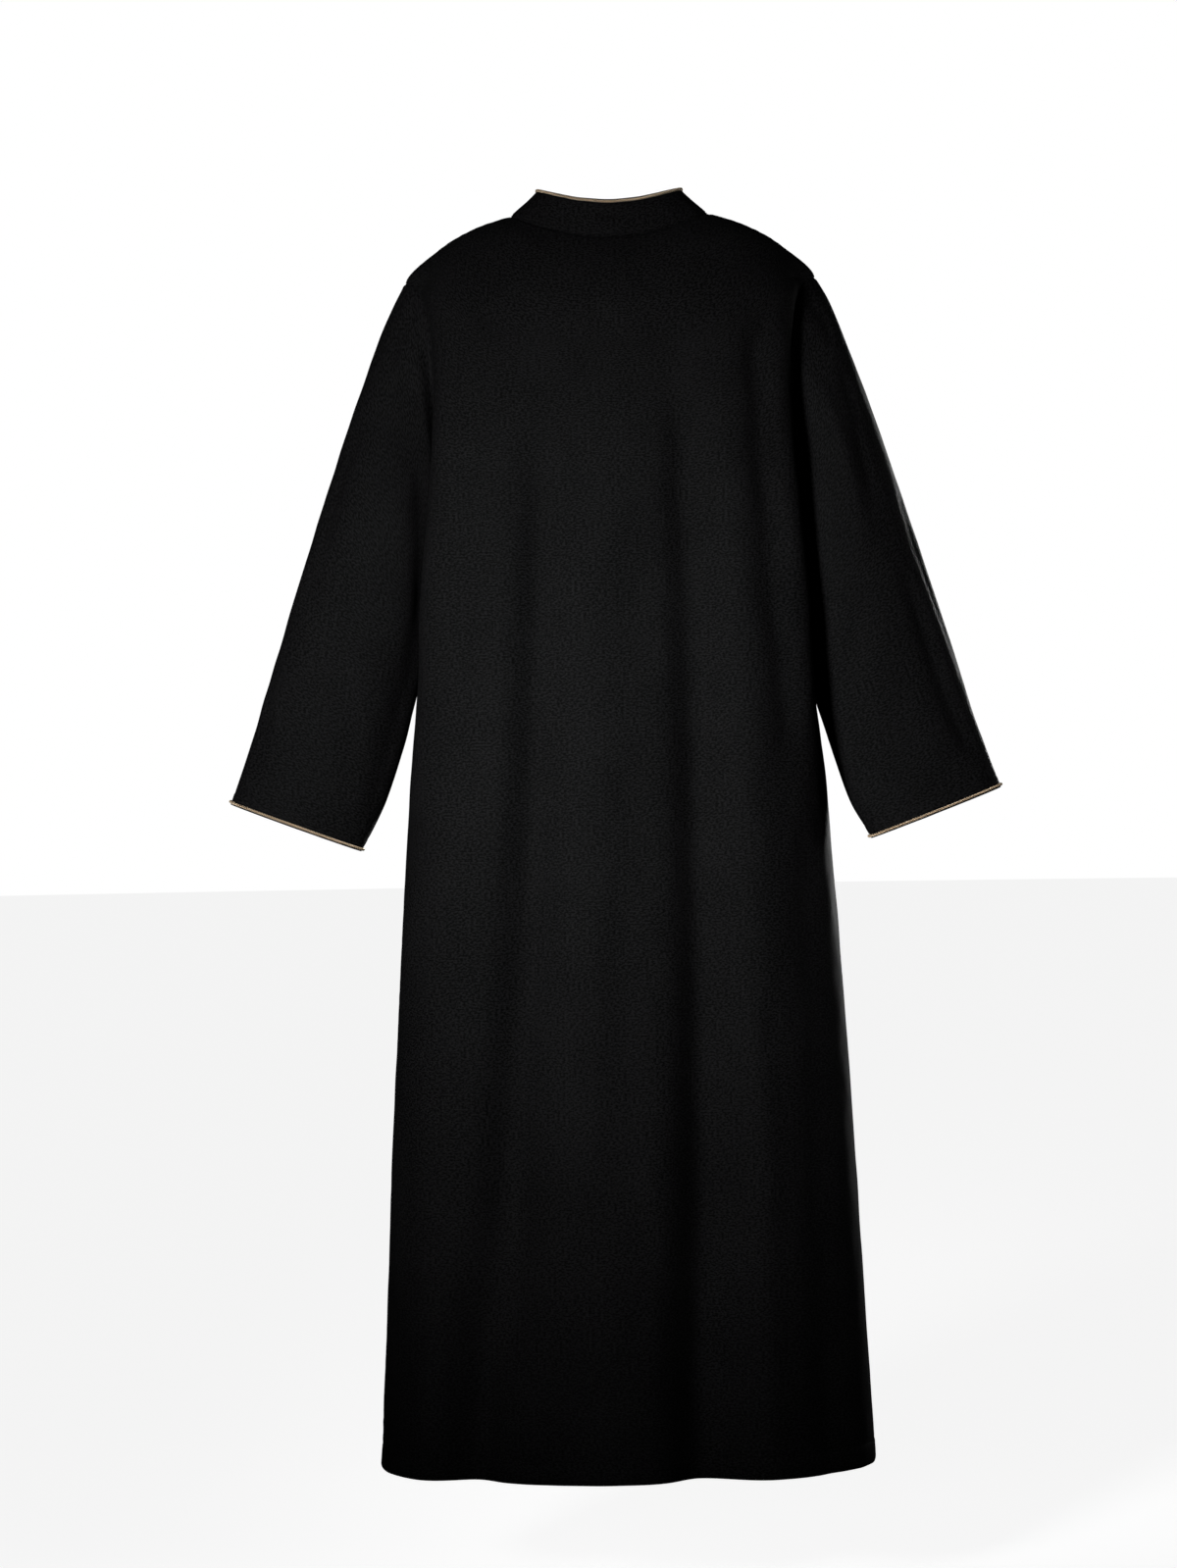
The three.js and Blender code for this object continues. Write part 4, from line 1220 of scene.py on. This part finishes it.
def strands(name):
    """Four strands of thread, each up through one hole of a button and down through the opposite one."""
    turn = facings[name].to_track_quat("Z", "Y").to_matrix().to_4x4()
    place = Matrix.Translation(middles[name]) @ turn
    for first, second in ((HOLES[0], HOLES[2]), (HOLES[1], HOLES[3])):
        ends = [(x * 1.05, y * 1.05, THREAD_END) for x, y in (first, second)]
        line = [ends[0], (*first, THREAD_TOP), (*second, THREAD_TOP), ends[1]]
        for shift in (-THREAD_SHIFT, THREAD_SHIFT):
            moved = [place @ (Vector((x + shift, y, z)) * MM) for x, y, z in line]
            yield [tuple(p / MM) for p in moved]


def thread_tree():
    tree = Pattern("thread_run", {"Radius": 0.00022, "Thread": None})
    sizes = {"Resolution": 6, "Radius": tree.given["Radius"]}
    ring = tree.add("GeometryNodeCurvePrimitiveCircle", {"mode": "RADIUS"}, sizes)
    return tree.end(tree.sweep(tree.given["Geometry"], ring[0]), tree.given["Thread"])


button_thread_lines = [line for name in button_names for line in strands(name)]
button_threads = run_tree("button_threads", button_thread_lines, thread_tree(), {"Thread": thread}, thread)
print("strands of button thread:", len(button_thread_lines))

# %% Buttonholes
HOLE_LENGTH, HOLE_END = 15, 1.1  # the length of a buttonhole and the radius of its round ends
CLOTH_BELOW = 1.83  # how far the cloth lies below a button's middle
buttonhole_lines = []
for name in button_names[:4]:
    facing = facings[name]
    down = Vector((0, facing.z, -facing.y)).normalized()
    if down.z > 0:
        down = -down
    surface = middles[name] - facing * (CLOTH_BELOW * MM)
    ring = []
    for turn in 2 * math.pi * np.arange(40) / 40:
        straight = (HOLE_LENGTH / 2 - HOLE_END) * (1 if math.cos(turn) > 0 else -1)
        offset = down * ((straight + HOLE_END * math.cos(turn)) * MM)
        ring.append(tuple((surface + offset + Vector((HOLE_END * math.sin(turn) * MM, 0, 0))) / MM))
    buttonhole_lines.append(ring)
close_set = {**STITCH, "Pitch": 0.00055, "Across": 1.0, "Face": (0.0, -1.0, 0.0)}
buttonholes = sew("buttonholes", buttonhole_lines, cyclic=True, seed=13, **close_set)

# %% [markdown]
# Each piece rides on the root, and the solid that it stands for is hidden. For each piece of cloth, the
# size it was cut to before it was sewn up is printed with the area of its grid.

# %% Ride and replace
def settle(piece, slot, *nodes):
    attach(piece, "root")
    if nodes:
        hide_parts(*nodes)


for slot, pieces in (("black_cloth", cloth), ("gold_cord", cords), ("black_button", buttons)):
    for node, piece in pieces.items():
        settle(piece, slot, node)
sewn = [hem_stitches, *cuff_stitches.values(), collar_stitches, placket_stitches, button_threads, buttonholes]
for piece in sewn:
    settle(piece, "black_cloth")


def grid_area(grid):
    """The area of a grid's cells in square metres."""
    first = grid[1:, 1:] - grid[:-1, :-1]
    second = grid[:-1, 1:] - grid[1:, :-1]
    return float(np.linalg.norm(np.cross(first, second), axis=-1).sum() / 2 * MM * MM)


cut_grids = {"back": back_grid, "front": front_grid, "collar": collar, "placket": over_strip}
cut_grids["sleeve"] = np.concatenate([sleeves["left"], sleeves["left"][:, :1]], 1)
for label, grid in cut_grids.items():
    widest = arc_lengths(grid, 1)[:, -1].max() * MM
    middle = arc_lengths(grid, 0)[-1, grid.shape[1] // 2] * MM
    print(label, "cut in metres:", np.round([widest, middle], 3), "area:", round(grid_area(grid), 4))

# %% [markdown]
# The set is a plain pale floor below the hem with an even pale surround, both kept out of the cloth's own
# light. One soft light stands behind the robe to the camera's left, and its cone fades towards the hem and
# the shoulders. Two weaker ones fill from either side, and a pair lights the front. The camera is level, at
# the middle of the robe's height, and rolled by just under a degree.

# %% Floor and light
FLOOR_HEIGHT = -1.56


def plain_floor():
    bpy.ops.mesh.primitive_circle_add(vertices=96, radius=30, fill_type="NGON", location=(0, 0, 0))
    floor = bpy.context.object
    floor.data.transform(Matrix.Translation((0, 0, FLOOR_HEIGHT)))
    floor.name = "floor"
    finish = Finish("pale_floor")
    paint = finish.surface(
        Base_Color=finish.mix(finish.noise(3, 3), (0.88, 0.88, 0.88), (0.92, 0.92, 0.92)),
        Roughness=0.9,
        Specular_IOR_Level=0.0,
        Emission_Color=(1, 1, 1),
        Emission_Strength=0.9,
    )
    floor.data.materials.append(paint)
    floor.visible_diffuse = False
    floor.visible_glossy = False


def soft_light(name, place, target, size, watts, spread=180):
    data = bpy.data.lights.new(name, "AREA")
    data.shape, data.size, data.energy, data.spread = "DISK", size, watts, math.radians(spread)
    light = link_object(name, data)
    light.location = place
    light.rotation_mode = "QUATERNION"
    light.rotation_quaternion = (Vector(target) - Vector(place)).to_track_quat("-Z", "Y")
    light.visible_camera = False


plain_floor()
soft_light("back_key", (1.0, 2.25, -0.3), (0.0, 0.1, -0.55), 0.5, 4.6, 44)
soft_light("back_fill", (2.1, 1.2, -0.3), (0, 0.1, -0.55), 0.8, 0.3, 70)
soft_light("back_edge", (-2.0, 1.4, -0.3), (0, 0, -0.6), 0.9, 1.4)
soft_light("front_key", (-1.4, -2.0, -0.25), (0, -0.1, -0.52), 0.5, 5.0, 44)
soft_light("front_fill", (-1.9, -1.2, -0.25), (0, -0.1, -0.5), 0.8, 1.0, 70)

world = bpy.data.worlds.new("pale_surround")
world.use_nodes = True
background = world.node_tree.nodes["Background"]
background.inputs["Color"].default_value = (1, 1, 1, 1)
background.inputs["Strength"].default_value = 1.0
bpy.context.scene.world = world
world.cycles_visibility.diffuse = False
world.cycles_visibility.glossy = False
bpy.context.scene.view_settings.view_transform = "Standard"

# %% The camera
VIEW_DISTANCE = 4.2
FRAME_HEIGHT = 1599  # the frame's height in pixels
SCALE = 1.1 * MM  # metres for each of the frame's pixels, at the robe's middle plane
NECK_RIGHT, NECK_UP = 21, 578  # the neck's place from the frame's centre, in the frame's pixels
ROLL = math.radians(0.9)
right = Vector((-math.cos(ROLL), 0, -math.sin(ROLL)))
up = Vector((-math.sin(ROLL), 0, math.cos(ROLL)))
behind = Vector((0, 1, 0))
camera_data = bpy.data.cameras.new("camera")
camera_data.sensor_fit = "AUTO"
camera_data.sensor_width = 36
camera_data.lens = camera_data.sensor_width * VIEW_DISTANCE / (FRAME_HEIGHT * SCALE)
camera = link_object("camera", camera_data)
where = behind * VIEW_DISTANCE - right * (NECK_RIGHT * SCALE) - up * (NECK_UP * SCALE)
camera.matrix_world = Matrix.Translation(where) @ Matrix((right, up, behind)).transposed().to_4x4()
bpy.context.scene.camera = camera
print("camera at", [round(v, 3) for v in where], "lens", round(camera_data.lens, 1), "mm")
